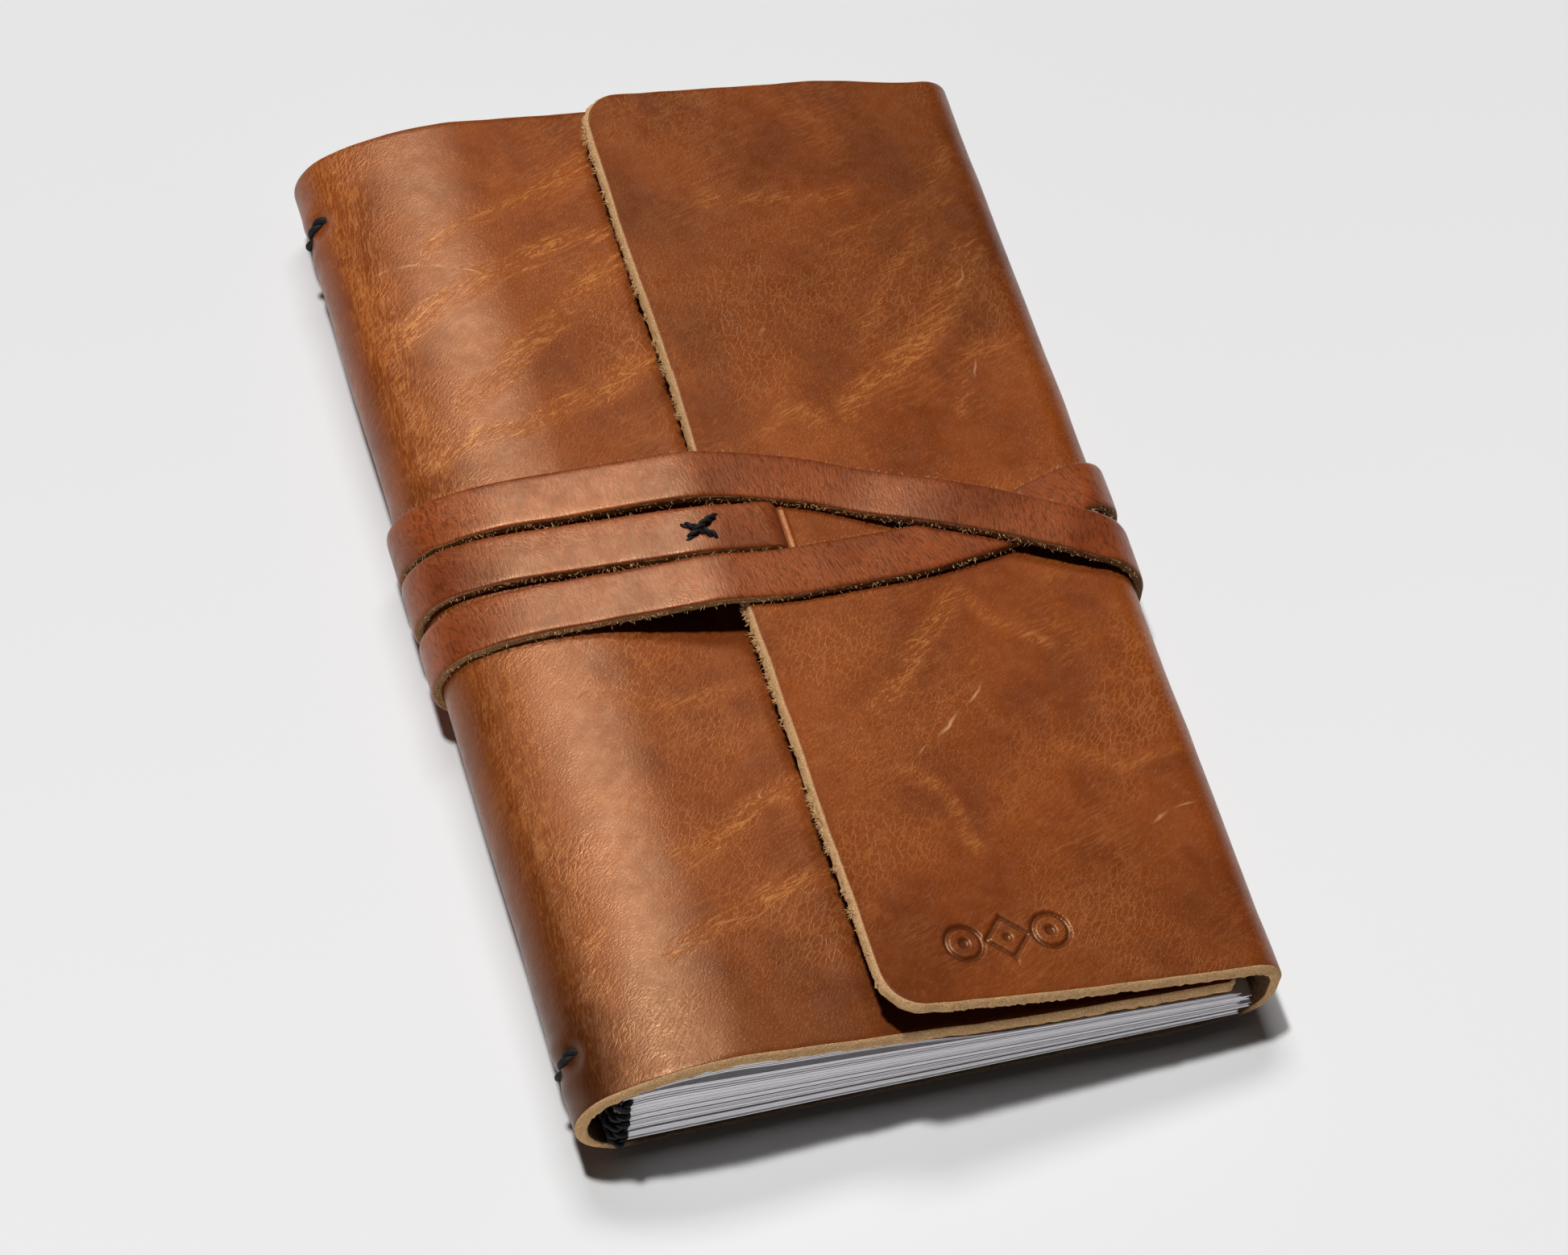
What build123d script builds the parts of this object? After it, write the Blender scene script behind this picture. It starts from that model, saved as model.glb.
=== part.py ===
"""Refillable leather notebook cover with a wrap strap, lying on its back.

Frame: X runs from the spine (-X) to the fore edge (+X), Y from the foot to the
head, Z up out of the front cover. The origin is on the table under the middle.
Millimetres.
"""
import os
from math import asin, atan2, cos, degrees, hypot, radians, sin

from build123d import *

# Driving dimensions
COVER_LENGTH = 218.0        # leather, foot to head
COVER_WIDTH = 135.0         # outside of the spine to outside of the fore-edge fold
LEATHER = 2.4               # cover leather thickness
STRAP = 2.0                 # strap leather thickness
STRAP_WIDTH = 10.6
PAGE_LENGTH = 210.0         # standard refill, 130 x 210
PAGE_CENTRE_Y = -3.6        # the pages sit nearly flush with the cover at the foot
CORD = 1.6                  # waxed binding cord
REST_GAP = 0.25             # clearance between neighbours on different bodies
CLEAR = 80.0                # a reach that clears the whole cover, for cutting shapes

# Wrapped cover, outer surface
SPINE_RADIUS = 10.8         # tight part of the spine curve
SHOULDER_RADIUS = 46.4      # gentle curve from the spine onto the front
FRONT_RADIUS = 1411.0       # slight hollow of the front towards the fore edge
SHOULDER_HEADING = 26.0     # slope where the spine curve meets the shoulder
FRONT_HEADING = -8.3        # slope where the shoulder meets the front
FRONT_END_HEADING = -4.5    # slope at the front's free edge
FOLD_RADIUS = 7.5           # fore-edge fold, both corners
FOLD_WALL = 3.0             # straight part between the two corners
FLAP_RISE = 8.0             # slope of the flap, degrees
FLAP_LENGTH = 73.0
FLAP_HEAD_TRIM = 3.0        # the flap is cut shorter than the cover at the head
FLAP_FOOT_TRIM = 0.6
FLAP_CORNER = 8.5

# Hinge lines, angles round each corner's centre
SPINE_HINGE = 124.0
LOWER_FOLD_HINGE = -45.0
HINGE_TRIM = 2.0            # degrees left off each side of a hinge line
SPINE_HINGE_LIFT = 0.25     # the spine's hinge line stands off the leather by this
FOLD_HINGE_LIFT = 0.05

# Binding
SIGNATURES = 5
SIGNATURE_SPINE = 3.1       # thickness at the fold
SIGNATURE_EDGE = 1.60       # thickness at the fore edge
SIGNATURE_GAP = 0.08
FOLD_ROUND = 0.4 * SIGNATURE_SPINE
PAGE_REST = 0.15            # clearance under and over the stack of signatures
PAGE_FOLD_X = -59.1
PAGE_EDGES_X = (58.6, 60.4, 57.8, 59.6, 57.0)
LEAF = 0.3
LEAF_HINGE_INSET = 1.2
CORD_INNER_X = -56.9
CORD_OUTER_X = -60.05
CORD_TURN_REACH = 0.95      # the cord turns this far beyond the pages
CORD_GAP = 0.05             # clearance between a cord and what it lies on
CHANNEL_GAP = 0.1           # clearance round the cord inside a fold
STITCH_HEAD_Y = 94.5
STITCH_FOOT_Y = -97.3
STITCH_LOW = 192.0          # angles of the stitch holes round the spine
STITCH_HIGH = 143.0
HOLE = 2.0

# Strap anchor
SLIT_WIDTH = 3.4
SLIT_LENGTH = 11.6
SLIT_CENTRE_Y = -0.6
SLIT_OFFSET = 0.4           # the slit lies this far beyond the strap's turn
ANCHOR_TURN_X = -2.2        # the strap turns through the slit about this place
ANCHOR_TAIL = 18.5          # length of the doubled end
BRIDGE_RADIUS = 30.0        # the strap rounds the flap's free edge
CROSS_X = -15.4
CROSS_Y = -0.4
CROSS_ARM = 3.6
CROSS_TILT = 35.0
CROSS_GAP = 0.15            # the cross clears the curved strap by this at its middle
BEND_TAIL_X = -48.0         # the spine bends end under the back here
BACK_CUT_X = COVER_WIDTH / 2 - FOLD_RADIUS    # the fore-edge fold starts here

# Strap routes seen from above, centre lines from left to right
ANCHOR_ROUTE = ((-80, 7.5), (-50, 3.9), (-15, -0.4), (12, -1.2))
UNDER_ROUTE = ((-80, -7.2), (-46, -8.4), (-4, -12.0), (25, -9.6), (47, -4.2), (80, 5.6))
OVER_ROUTE = ((-80, 18.8), (-47, 15.8), (-18, 13.6), (8, 9.8), (45, -6.0), (80, -18.5))
ROUTE_RADIUS = 45.0
FOLD_UNDER_Y = 2.2
FOLD_OVER_Y = -14.3
BACK_LEFT_X = BEND_TAIL_X + REST_GAP
BACK_RIGHT_X = BACK_CUT_X - REST_GAP
BACK_ROUTES = (
    ((BACK_LEFT_X, 7.4), (BACK_RIGHT_X, FOLD_UNDER_Y)),
    ((BACK_LEFT_X, -7.0), (BACK_RIGHT_X, FOLD_OVER_Y)),
    ((BACK_LEFT_X, 19.6), (24.0, 19.0)),
)

LEFT = -COVER_WIDTH / 2
RIGHT = COVER_WIDTH / 2
FOOT = -COVER_LENGTH / 2
HEAD = COVER_LENGTH / 2
BACK_Z = STRAP + REST_GAP
SPINE_CENTRE = (LEFT + SPINE_RADIUS, BACK_Z + SPINE_RADIUS)
LOWER_FOLD_CENTRE = (RIGHT - FOLD_RADIUS, BACK_Z + FOLD_RADIUS)
UPPER_FOLD_CENTRE = (RIGHT - FOLD_RADIUS, BACK_Z + FOLD_RADIUS + FOLD_WALL)
FLAP_HEADING = 180.0 - FLAP_RISE
UPPER_FOLD_HINGE = (90.0 - FLAP_RISE) / 2
LEAF_HINGE_X = PAGE_FOLD_X + LEAF_HINGE_INSET
PAGE_FOOT = PAGE_CENTRE_Y - PAGE_LENGTH / 2
PAGE_HEAD = PAGE_CENTRE_Y + PAGE_LENGTH / 2


def polar(centre, radius, angle):
    """Point of a circle in the XZ plane, angle in degrees from +X towards +Z."""
    a = radians(angle)
    return (centre[0] + radius * cos(a), centre[1] + radius * sin(a))


def step(point, heading, distance):
    return polar(point, distance, heading)


def left_of(point, heading, distance):
    return polar(point, distance, heading + 90)


def walk(start, heading, moves, offset):
    """Edges of a path of ("go", length) and ("left" or "right", radius, degrees)
    moves in the XZ plane, shifted to its left by offset."""
    edges = []
    base = start
    for move in moves:
        first = left_of(base, heading, offset)
        if move[0] == "go":
            base = step(base, heading, move[1])
            last = left_of(base, heading, offset)
            edges.append(Edge.make_line((first[0], 0, first[1]), (last[0], 0, last[1])))
            continue
        sign = 1 if move[0] == "left" else -1
        centre = left_of(base, heading, sign * move[1])
        radius = move[1] - sign * offset
        begin = heading - sign * 90
        middle = polar(centre, radius, begin + sign * move[2] / 2)
        base = polar(centre, move[1], begin + sign * move[2])
        heading += sign * move[2]
        last = left_of(base, heading, offset)
        edges.append(
            Edge.make_three_point_arc(
                (first[0], 0, first[1]), (middle[0], 0, middle[1]), (last[0], 0, last[1])
            )
        )
    return edges


def band(start, heading, moves, near, far, low_y, high_y):
    """Solid sheet between two offsets of a walked path, from low_y to high_y."""
    a = walk(start, heading, moves, near)
    b = walk(start, heading, moves, far)
    caps = [
        Edge.make_line(a[0] @ 0, b[0] @ 0),
        Edge.make_line(a[-1] @ 1, b[-1] @ 1),
    ]
    face = Face(Wire(a + b + caps))
    return Solid.extrude(face, Vector(0, high_y - low_y, 0)).moved(Location((0, low_y, 0)))


def plate(points, low_z, high_z, fillets=()):
    """Flat plate with an XY outline; fillets pairs a corner's index with its radius."""
    outline = make_face(Polyline(*points, close=True))
    for index, radius in fillets:
        corner = outline.vertices().sort_by_distance(points[index])[0]
        outline = fillet(corner, radius)
    return extrude(Pos(0, 0, low_z) * outline, high_z - low_z, dir=(0, 0, 1))


def ribbon(route, low_x, high_x):
    """Tall prism over a strap's route, cut off at low_x and high_x."""
    centre = FilletPolyline(*route, radius=ROUTE_RADIUS) if len(route) > 2 else Polyline(*route)
    outline = make_face(Wire(centre.edges()).offset_2d(STRAP_WIDTH / 2))
    prism = extrude(outline, CLEAR, both=True)
    window = Box(high_x - low_x, 2 * CLEAR, 2 * CLEAR)
    return prism & window.moved(Location(((low_x + high_x) / 2, 0, 0)))


def tube(points, radius, corner):
    path = FilletPolyline(*points, radius=corner)
    return sweep(Plane(path @ 0, z_dir=path % 0) * Circle(radius), path=path)


def rod(start, end, radius):
    axis = Vector(*end) - Vector(*start)
    return Solid.make_cylinder(radius, axis.length, Plane(start, z_dir=axis))


def spine_point(radius, angle, y):
    x, z = polar(SPINE_CENTRE, radius, angle)
    return (x, y, z)


# Leather sheet

def back_panel():
    moves = [("go", BACK_CUT_X - SPINE_CENTRE[0])]
    half_fold = [("left", FOLD_RADIUS, 90 + LOWER_FOLD_HINGE - HINGE_TRIM)]
    start = (SPINE_CENTRE[0], BACK_Z)
    return band(start, 0, moves + half_fold, 0, LEATHER, FOOT, HEAD)


def stitch_holes():
    cuts = []
    for y in (STITCH_HEAD_Y, STITCH_FOOT_Y):
        for angle in (STITCH_LOW, STITCH_HIGH):
            inner = spine_point(SPINE_RADIUS - 2 * LEATHER, angle, y)
            outer = spine_point(SPINE_RADIUS + LEATHER, angle, y)
            cuts.append(rod(inner, outer, HOLE / 2))
    return cuts


def spine_panel():
    start = (SPINE_CENTRE[0], BACK_Z)
    turn = 270 - SPINE_HINGE - HINGE_TRIM
    sheet = band(start, 180, [("right", SPINE_RADIUS, turn)], 0, -LEATHER, FOOT, HEAD)
    for cut in stitch_holes():
        sheet = sheet - cut
    return sheet


def front_moves():
    return [
        ("right", SPINE_RADIUS, SPINE_HINGE - HINGE_TRIM - 90 - SHOULDER_HEADING),
        ("right", SHOULDER_RADIUS, SHOULDER_HEADING - FRONT_HEADING),
        ("left", FRONT_RADIUS, FRONT_END_HEADING - FRONT_HEADING),
    ]


def front_panel():
    angle = SPINE_HINGE - HINGE_TRIM
    start = polar(SPINE_CENTRE, SPINE_RADIUS, angle)
    return band(start, angle - 90, front_moves(), 0, -LEATHER, FOOT, HEAD)


def fore_edge_panel():
    angle = LOWER_FOLD_HINGE + HINGE_TRIM
    start = polar(LOWER_FOLD_CENTRE, FOLD_RADIUS, angle)
    upper_half = UPPER_FOLD_HINGE - HINGE_TRIM
    moves = [("left", FOLD_RADIUS, -angle), ("go", FOLD_WALL), ("left", FOLD_RADIUS, upper_half)]
    sheet = band(start, angle + 90, moves, 0, LEATHER, FOOT, HEAD)
    low = FOOT + FLAP_FOOT_TRIM / 2
    high = HEAD - FLAP_HEAD_TRIM / 2
    return sheet & plate(((0, low), (CLEAR, low), (CLEAR, high), (0, high)), 0, CLEAR)


def flap_start():
    """Outer surface of the flap where it leaves the upper fold."""
    return polar(UPPER_FOLD_CENTRE, FOLD_RADIUS, 90 - FLAP_RISE)


def flap_point(x):
    """Point of the flap's outer surface above x."""
    start = flap_start()
    return step(start, FLAP_HEADING, (start[0] - x) / cos(radians(FLAP_RISE)))


def flap_edge_x():
    return flap_start()[0] - FLAP_LENGTH * cos(radians(FLAP_RISE))


def flap_outline():
    low = FOOT + FLAP_FOOT_TRIM
    high = HEAD - FLAP_HEAD_TRIM
    free = flap_edge_x()
    points = ((free, low), (CLEAR, low), (CLEAR, high), (free, high))
    return plate(points, 0, CLEAR, fillets=((0, FLAP_CORNER), (3, FLAP_CORNER)))


def flap_panel():
    angle = UPPER_FOLD_HINGE + HINGE_TRIM
    start = polar(UPPER_FOLD_CENTRE, FOLD_RADIUS, angle)
    moves = [("left", FOLD_RADIUS, UPPER_FOLD_HINGE - HINGE_TRIM), ("go", FLAP_LENGTH + FLAP_CORNER)]
    sheet = band(start, angle + 90, moves, 0, LEATHER, FOOT, HEAD) & flap_outline()
    x, z = flap_point(ANCHOR_TURN_X + SLIT_WIDTH / 2 + SLIT_OFFSET)
    slit = Box(SLIT_WIDTH, SLIT_LENGTH, 5 * LEATHER).moved(
        Location((x, SLIT_CENTRE_Y, z), (0, FLAP_RISE, 0))
    )
    return sheet - slit


# Paper and binding

def signature_line(x, count):
    """Height of the count-th boundary between signatures at x."""
    share = (x - PAGE_FOLD_X) / (RIGHT - PAGE_FOLD_X)
    each = SIGNATURE_SPINE + share * (SIGNATURE_EDGE - SIGNATURE_SPINE)
    return BACK_Z + LEATHER + PAGE_REST + count * each


def signature(index):
    edge = PAGE_EDGES_X[index]
    left = PAGE_FOLD_X + FOLD_ROUND
    low_left = signature_line(left, index) + SIGNATURE_GAP / 2
    high_left = signature_line(left, index + 1) - SIGNATURE_GAP / 2
    low_right = signature_line(edge, index) + SIGNATURE_GAP / 2
    high_right = signature_line(edge, index + 1) - SIGNATURE_GAP / 2
    edges = [
        Edge.make_line((left, 0, low_left), (edge, 0, low_right)),
        Edge.make_line((edge, 0, low_right), (edge, 0, high_right)),
        Edge.make_line((edge, 0, high_right), (left, 0, high_left)),
        Edge.make_three_point_arc(
            (left, 0, high_left),
            (PAGE_FOLD_X, 0, (low_left + high_left) / 2),
            (left, 0, low_left),
        ),
    ]
    pages = Solid.extrude(Face(Wire(edges)), Vector(0, PAGE_LENGTH, 0))
    pages = pages.moved(Location((0, PAGE_FOOT, 0)))
    z = cord_height(index)
    channel = rod((CORD_INNER_X, FOOT - CORD, z), (CORD_INNER_X, HEAD, z), CORD / 2 + CHANNEL_GAP)
    return pages - channel


def cord_height(index):
    return signature_line(CORD_INNER_X, index + 0.5)


def signature_cord(index):
    """Cord through one signature's fold, round both ends of the pages and back
    along the outside of the fold to the stitch holes."""
    z = cord_height(index)
    head_turn = PAGE_HEAD + CORD_TURN_REACH
    foot_turn = PAGE_FOOT - CORD_TURN_REACH
    corner = (CORD_INNER_X - CORD_OUTER_X) / 2 - CORD_GAP
    points = (
        (CORD_OUTER_X, STITCH_HEAD_Y, z),
        (CORD_OUTER_X, head_turn, z),
        (CORD_INNER_X, head_turn, z),
        (CORD_INNER_X, foot_turn, z),
        (CORD_OUTER_X, foot_turn, z),
        (CORD_OUTER_X, STITCH_FOOT_Y, z),
    )
    return tube(points, CORD / 2, corner)


def spine_stitch(y):
    """Outside stitch between two holes, its ends passing in through the spine."""
    ride = SPINE_RADIUS + CORD / 2 + CORD_GAP
    inside = SPINE_RADIUS - LEATHER - CORD / 4
    middle = (STITCH_LOW + STITCH_HIGH) / 2
    arc = Edge.make_three_point_arc(
        spine_point(ride, STITCH_LOW, y),
        spine_point(ride, middle, y),
        spine_point(ride, STITCH_HIGH, y),
    )
    run = sweep(Plane(arc @ 0, z_dir=arc % 0) * Circle(CORD / 2), path=arc)
    stitch = run
    for angle in (STITCH_LOW, STITCH_HIGH):
        end = spine_point(ride, angle, y)
        stitch = stitch + rod(spine_point(inside, angle, y), end, CORD / 2)
        stitch = stitch + Solid.make_sphere(CORD / 2).moved(Location(end))
    return stitch


def first_leaf():
    left = LEAF_HINGE_X
    right = PAGE_EDGES_X[-1]
    low_left = signature_line(left, SIGNATURES) + PAGE_REST
    low_right = signature_line(right, SIGNATURES) + PAGE_REST
    edges = Polyline((left, low_left), (right, low_right), (right, low_right + LEAF),
                     (left, low_left + LEAF), close=True)
    face = Plane.XZ * make_face(edges)
    leaf = extrude(face, PAGE_LENGTH / 2, both=True)
    return leaf.moved(Location((0, PAGE_CENTRE_Y, 0)))


# Strap

def bridge(lift):
    """Moves from the flap's free edge, over the gap and round the spine, for a
    strap whose underside rides lift above the flap."""
    turn = left_of(flap_point(flap_edge_x()), FLAP_HEADING, BRIDGE_RADIUS)
    shoulder = left_of(
        polar(SPINE_CENTRE, SPINE_RADIUS, 90 + SHOULDER_HEADING),
        SHOULDER_HEADING, -SHOULDER_RADIUS,
    )
    gap = hypot(turn[0] - shoulder[0], turn[1] - shoulder[1])
    line = degrees(atan2(turn[1] - shoulder[1], turn[0] - shoulder[0]))
    outer = BRIDGE_RADIUS + lift
    spread = degrees(asin((SHOULDER_RADIUS - outer) / gap))
    slope = line - spread
    length = gap * cos(radians(spread))
    return [
        ("left", outer, FLAP_RISE + slope),
        ("go", length),
        ("left", SHOULDER_RADIUS, SHOULDER_HEADING - slope),
        ("left", SPINE_RADIUS, 180 - SHOULDER_HEADING),
        ("go", BEND_TAIL_X - SPINE_CENTRE[0]),
    ]


def strap_anchor_run():
    """Wound run that starts at the slit: doubled end, turn through the slit, over
    the flap's free edge and round the spine."""
    turn = left_of(flap_point(ANCHOR_TURN_X), FLAP_HEADING, LEATHER)
    start = step(turn, FLAP_HEADING, ANCHOR_TAIL)
    top = (ANCHOR_TURN_X - flap_edge_x()) / cos(radians(FLAP_RISE))
    moves = [("go", ANCHOR_TAIL), ("left", LEATHER / 2, 180), ("go", top)] + bridge(0)
    near = -REST_GAP
    sheet = band(start, -FLAP_RISE, moves, near, near - STRAP, -CLEAR, CLEAR)
    return sheet & ribbon(ANCHOR_ROUTE, -CLEAR, ANCHOR_ROUTE[-1][0])


def strap_front_run(route, lift):
    start = left_of(flap_start(), FLAP_HEADING, -lift)
    moves = [("go", FLAP_LENGTH)] + bridge(lift)
    near = -REST_GAP
    sheet = band(start, FLAP_HEADING, moves, near, near - STRAP, -CLEAR, CLEAR)
    return sheet & ribbon(route, -CLEAR, flap_start()[0])


def strap_fold_bends():
    """The two wound runs where they pass round the fore-edge fold."""
    start = (BACK_CUT_X, BACK_Z)
    moves = [
        ("left", FOLD_RADIUS, 90),
        ("go", FOLD_WALL),
        ("left", FOLD_RADIUS, 90 - FLAP_RISE - HINGE_TRIM),
    ]
    near = -REST_GAP
    bends = []
    for y in (FOLD_UNDER_Y, FOLD_OVER_Y):
        low = y - STRAP_WIDTH / 2
        bends.append(band(start, 0, moves, near, near - STRAP, low, low + STRAP_WIDTH))
    return Compound(children=bends)


def strap_back_runs():
    runs = []
    for (x0, y0), (x1, y1) in BACK_ROUTES:
        half = STRAP_WIDTH / 2
        points = ((x0, y0 - half), (x1, y1 - half), (x1, y1 + half), (x0, y0 + half))
        runs.append(plate(points, 0, STRAP))
    return Compound(children=[run.solid() for run in runs])


def cross_stitch():
    """Two crossed cords holding the strap's doubled end."""
    top = strap_top(CROSS_X) + CORD / 2 + CROSS_GAP
    arms = []
    dx = CROSS_ARM * cos(radians(CROSS_TILT))
    for dy in (CROSS_ARM * sin(radians(CROSS_TILT)), -CROSS_ARM * sin(radians(CROSS_TILT))):
        first = (CROSS_X - dx, CROSS_Y - dy, top)
        last = (CROSS_X + dx, CROSS_Y + dy, top)
        arms.append(rod(first, last, CORD / 2))
        arms.append(Solid.make_sphere(CORD / 2).moved(Location(first)))
        arms.append(Solid.make_sphere(CORD / 2).moved(Location(last)))
    return arms[0].fuse(*arms[1:])


def strap_top(x):
    """Height of the anchor run's upper surface beyond the flap's free edge."""
    centre = left_of(flap_point(flap_edge_x()), FLAP_HEADING, BRIDGE_RADIUS)
    radius = BRIDGE_RADIUS + REST_GAP + STRAP
    return centre[1] + (radius ** 2 - (x - centre[0]) ** 2) ** 0.5


def save(name, shape):
    export_step(shape, f"parts/{name}.step")


os.makedirs("parts", exist_ok=True)
save("back_panel", back_panel())
save("spine_panel", spine_panel())
save("front_panel", front_panel())
save("fore_edge_panel", fore_edge_panel())
save("flap_panel", flap_panel())
for number in range(SIGNATURES):
    save(f"signature_{number + 1}", signature(number))
    save(f"signature_cord_{number + 1}", signature_cord(number))
save("first_leaf", first_leaf())
save("spine_stitch_head", spine_stitch(STITCH_HEAD_Y))
save("spine_stitch_foot", spine_stitch(STITCH_FOOT_Y))
save("strap_anchor_run", strap_anchor_run())
save("strap_under_run", strap_front_run(UNDER_ROUTE, 0))
save("strap_over_run", strap_front_run(OVER_ROUTE, STRAP + REST_GAP))
save("strap_fold_bends", strap_fold_bends())
save("strap_back_runs", strap_back_runs())
save("cross_stitch", cross_stitch())

hinges = {
    "fore edge": polar(LOWER_FOLD_CENTRE, FOLD_RADIUS + FOLD_HINGE_LIFT, LOWER_FOLD_HINGE),
    "flap": polar(UPPER_FOLD_CENTRE, FOLD_RADIUS + FOLD_HINGE_LIFT, UPPER_FOLD_HINGE),
    "front cover": polar(SPINE_CENTRE, SPINE_RADIUS + SPINE_HINGE_LIFT, SPINE_HINGE),
    "first leaf": (LEAF_HINGE_X, signature_line(LEAF_HINGE_X, SIGNATURES) + LEAF),
}
for name, (x, z) in hinges.items():
    print(f"{name} hinge line: x {x:.3f}, z {z:.3f}")
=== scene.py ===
"""Looks of the leather notebook cover: one folded leather sheet, a wound strap, sewn
pages, cords, floor, light and camera.

Lengths are in millimetres and become metres when a mesh is made. The frame is the
CAD's: X from the spine to the fore edge, Y from the foot to the head, Z up out of
the front cover.
"""
from math import asin, atan2, cos, degrees, hypot, pi, radians, sin

import bmesh
import bpy
import numpy as np
from mathutils import Matrix, Vector


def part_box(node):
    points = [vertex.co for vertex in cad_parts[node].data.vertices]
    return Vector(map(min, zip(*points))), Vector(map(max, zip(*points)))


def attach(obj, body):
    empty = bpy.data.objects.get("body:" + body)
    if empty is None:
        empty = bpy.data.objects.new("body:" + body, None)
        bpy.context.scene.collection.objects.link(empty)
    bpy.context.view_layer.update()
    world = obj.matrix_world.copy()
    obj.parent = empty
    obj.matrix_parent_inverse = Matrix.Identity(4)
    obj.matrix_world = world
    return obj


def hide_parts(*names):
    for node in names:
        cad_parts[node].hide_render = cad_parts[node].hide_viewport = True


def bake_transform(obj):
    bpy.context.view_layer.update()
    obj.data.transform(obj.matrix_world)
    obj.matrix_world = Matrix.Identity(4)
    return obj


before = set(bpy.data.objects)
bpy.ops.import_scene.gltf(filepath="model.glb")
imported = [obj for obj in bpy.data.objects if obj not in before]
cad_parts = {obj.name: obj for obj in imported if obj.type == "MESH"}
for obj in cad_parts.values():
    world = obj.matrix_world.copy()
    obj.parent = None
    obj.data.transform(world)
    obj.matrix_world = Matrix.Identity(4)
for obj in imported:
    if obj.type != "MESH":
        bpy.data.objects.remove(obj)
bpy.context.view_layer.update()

MM = 0.001
LINE_STEP = 0.2
CORD_STEP = 0.25
STRAP_STEP = 0.7
GRAIN_SIDE, CUT_EDGE, FLESH_SIDE, HAIR = range(4)       # material slots of a leather piece


def node_box(name):
    """Lowest and highest corner of a CAD node, in millimetres."""
    low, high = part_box(name)
    return [c / MM for c in low], [c / MM for c in high]


# Sizes read from the frame
BACK_LOW, BACK_HIGH = node_box("back_panel")
FOOT, HEAD = BACK_LOW[1], BACK_HIGH[1]
BACK_Z = BACK_LOW[2]
LEFT = node_box("spine_panel")[0][0]
RIGHT = -LEFT
PAGE_FOOT, PAGE_HEAD = node_box("signature_1")[0][1], node_box("signature_1")[1][1]
PAGE_FOLD_X = node_box("signature_1")[0][0]

# Leather sheet
LEATHER = 2.4
SPINE_RADIUS = 10.8
SHOULDER_RADIUS = 46.4
FRONT_RADIUS = 1411.0
SHOULDER_HEADING = 26.0
FRONT_HEADING = -8.3
FRONT_END_HEADING = -4.5
FOLD_RADIUS = 7.5
FOLD_WALL = 3.0
FLAP_RISE = 8.0             # degrees
FLAP_SLOPE = cos(radians(FLAP_RISE))
FLAP_LENGTH = 73.0
FLAP_HEAD_TRIM = 1.3
FLAP_FOOT_TRIM = 0.6
FLAP_CORNER = 8.5
FRONT_CORNER = 2.5
FLAP_LIFT_FOOT = 2.6        # the flap's free edge stands higher at the foot
FLAP_DROP_HEAD = 0.2        # and lies lower at the head
FOLD_HEAD_DIP = 2.4         # the fold's head end draws down
FRONT_HEAD_DIP = 4.5
SEAM_X = -28.0              # the sheet's pieces meet under the back here
SPINE_CENTRE = (LEFT + SPINE_RADIUS, BACK_Z + SPINE_RADIUS)
TOP_INSET = 0.95            # the grain and flesh faces stop this far inside the cut outline
BASE_INSET = 0.35
EDGE_RINGS = (              # inset and depth of the lines down the cut edge
    (0.80, 0.06), (0.55, 0.3), (0.35, 0.65), (0.2, 1.0),
    (0.1, 1.4), (0.02, 1.8), (0.02, 2.1), (0.12, 2.3),
)

# Strap
STRAP = 2.0
STRAP_WIDTH = 10.6
STRAP_GAP = 0.08
BRIDGE_RADIUS = 30.0
ANCHOR_TURN_X = -2.2
ANCHOR_TAIL = 18.5
BEND_TAIL_X = -48.0
UNDER_ROUTE = ((66, 2.2), (58, 0.0), (45, -5.6), (25, -10.0), (-4, -12.2), (-30, -10.4), (-62, -7.6))
OVER_ROUTE = (
    (66, -14.0), (58, -10.8), (43, -4.6), (24, 1.9), (8, 8.4), (-8, 11.9), (-30, 13.9), (-62, 17.0),
)
ANCHOR_ROUTE = ((2, -0.9), (-15, -0.3), (-50, 3.8), (-62, 5.6))
UNDER_TAIL_Y = -7.0
OVER_TAIL_Y = 19.6
ANCHOR_TAIL_Y = 7.4
UNDER_FOLD_Y = 2.2          # where the runs pass round the fore edge
OVER_FOLD_Y = -14.3
ANCHOR_SLIT_Y = -0.4
BACK_TAIL_X = 24.0          # the free end under the back
BACK_TAIL_Y = 18.8
CROSSING_X = 46.0           # the over run climbs on the under run here

# Creases of the hide: width, strength and the places they run through
FRONT_CREASES = (
    (4.0, 1.0, (-59, 59), (-50, 64), (-37, 70), (-24, 75), (-8, 79)),
    (3.2, 0.8, (-48, 79), (-28, 88), (-8, 97)),
    (4.2, 0.9, (-50, 41), (-40, 48), (-30, 56), (-9, 72)),
    (3.6, 0.9, (-60, 31), (-41, 34), (-24, 39), (-8, 47)),
    (3.6, 1.0, (-36, -66), (-20, -57), (-6, -50)),
    (3.6, 0.9, (-44, -84), (-26, -78), (-6, -73)),
    (2.4, 0.7, (-61, -88), (-55, -77)),
    (3.0, 0.6, (-63, 92), (-62, 60), (-60, 40)),
    (3.0, 0.6, (-62, -30), (-60, -62), (-58, -90)),
    (3.0, 0.5, (-46, -28), (-30, -34), (-12, -30)),
)
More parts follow.
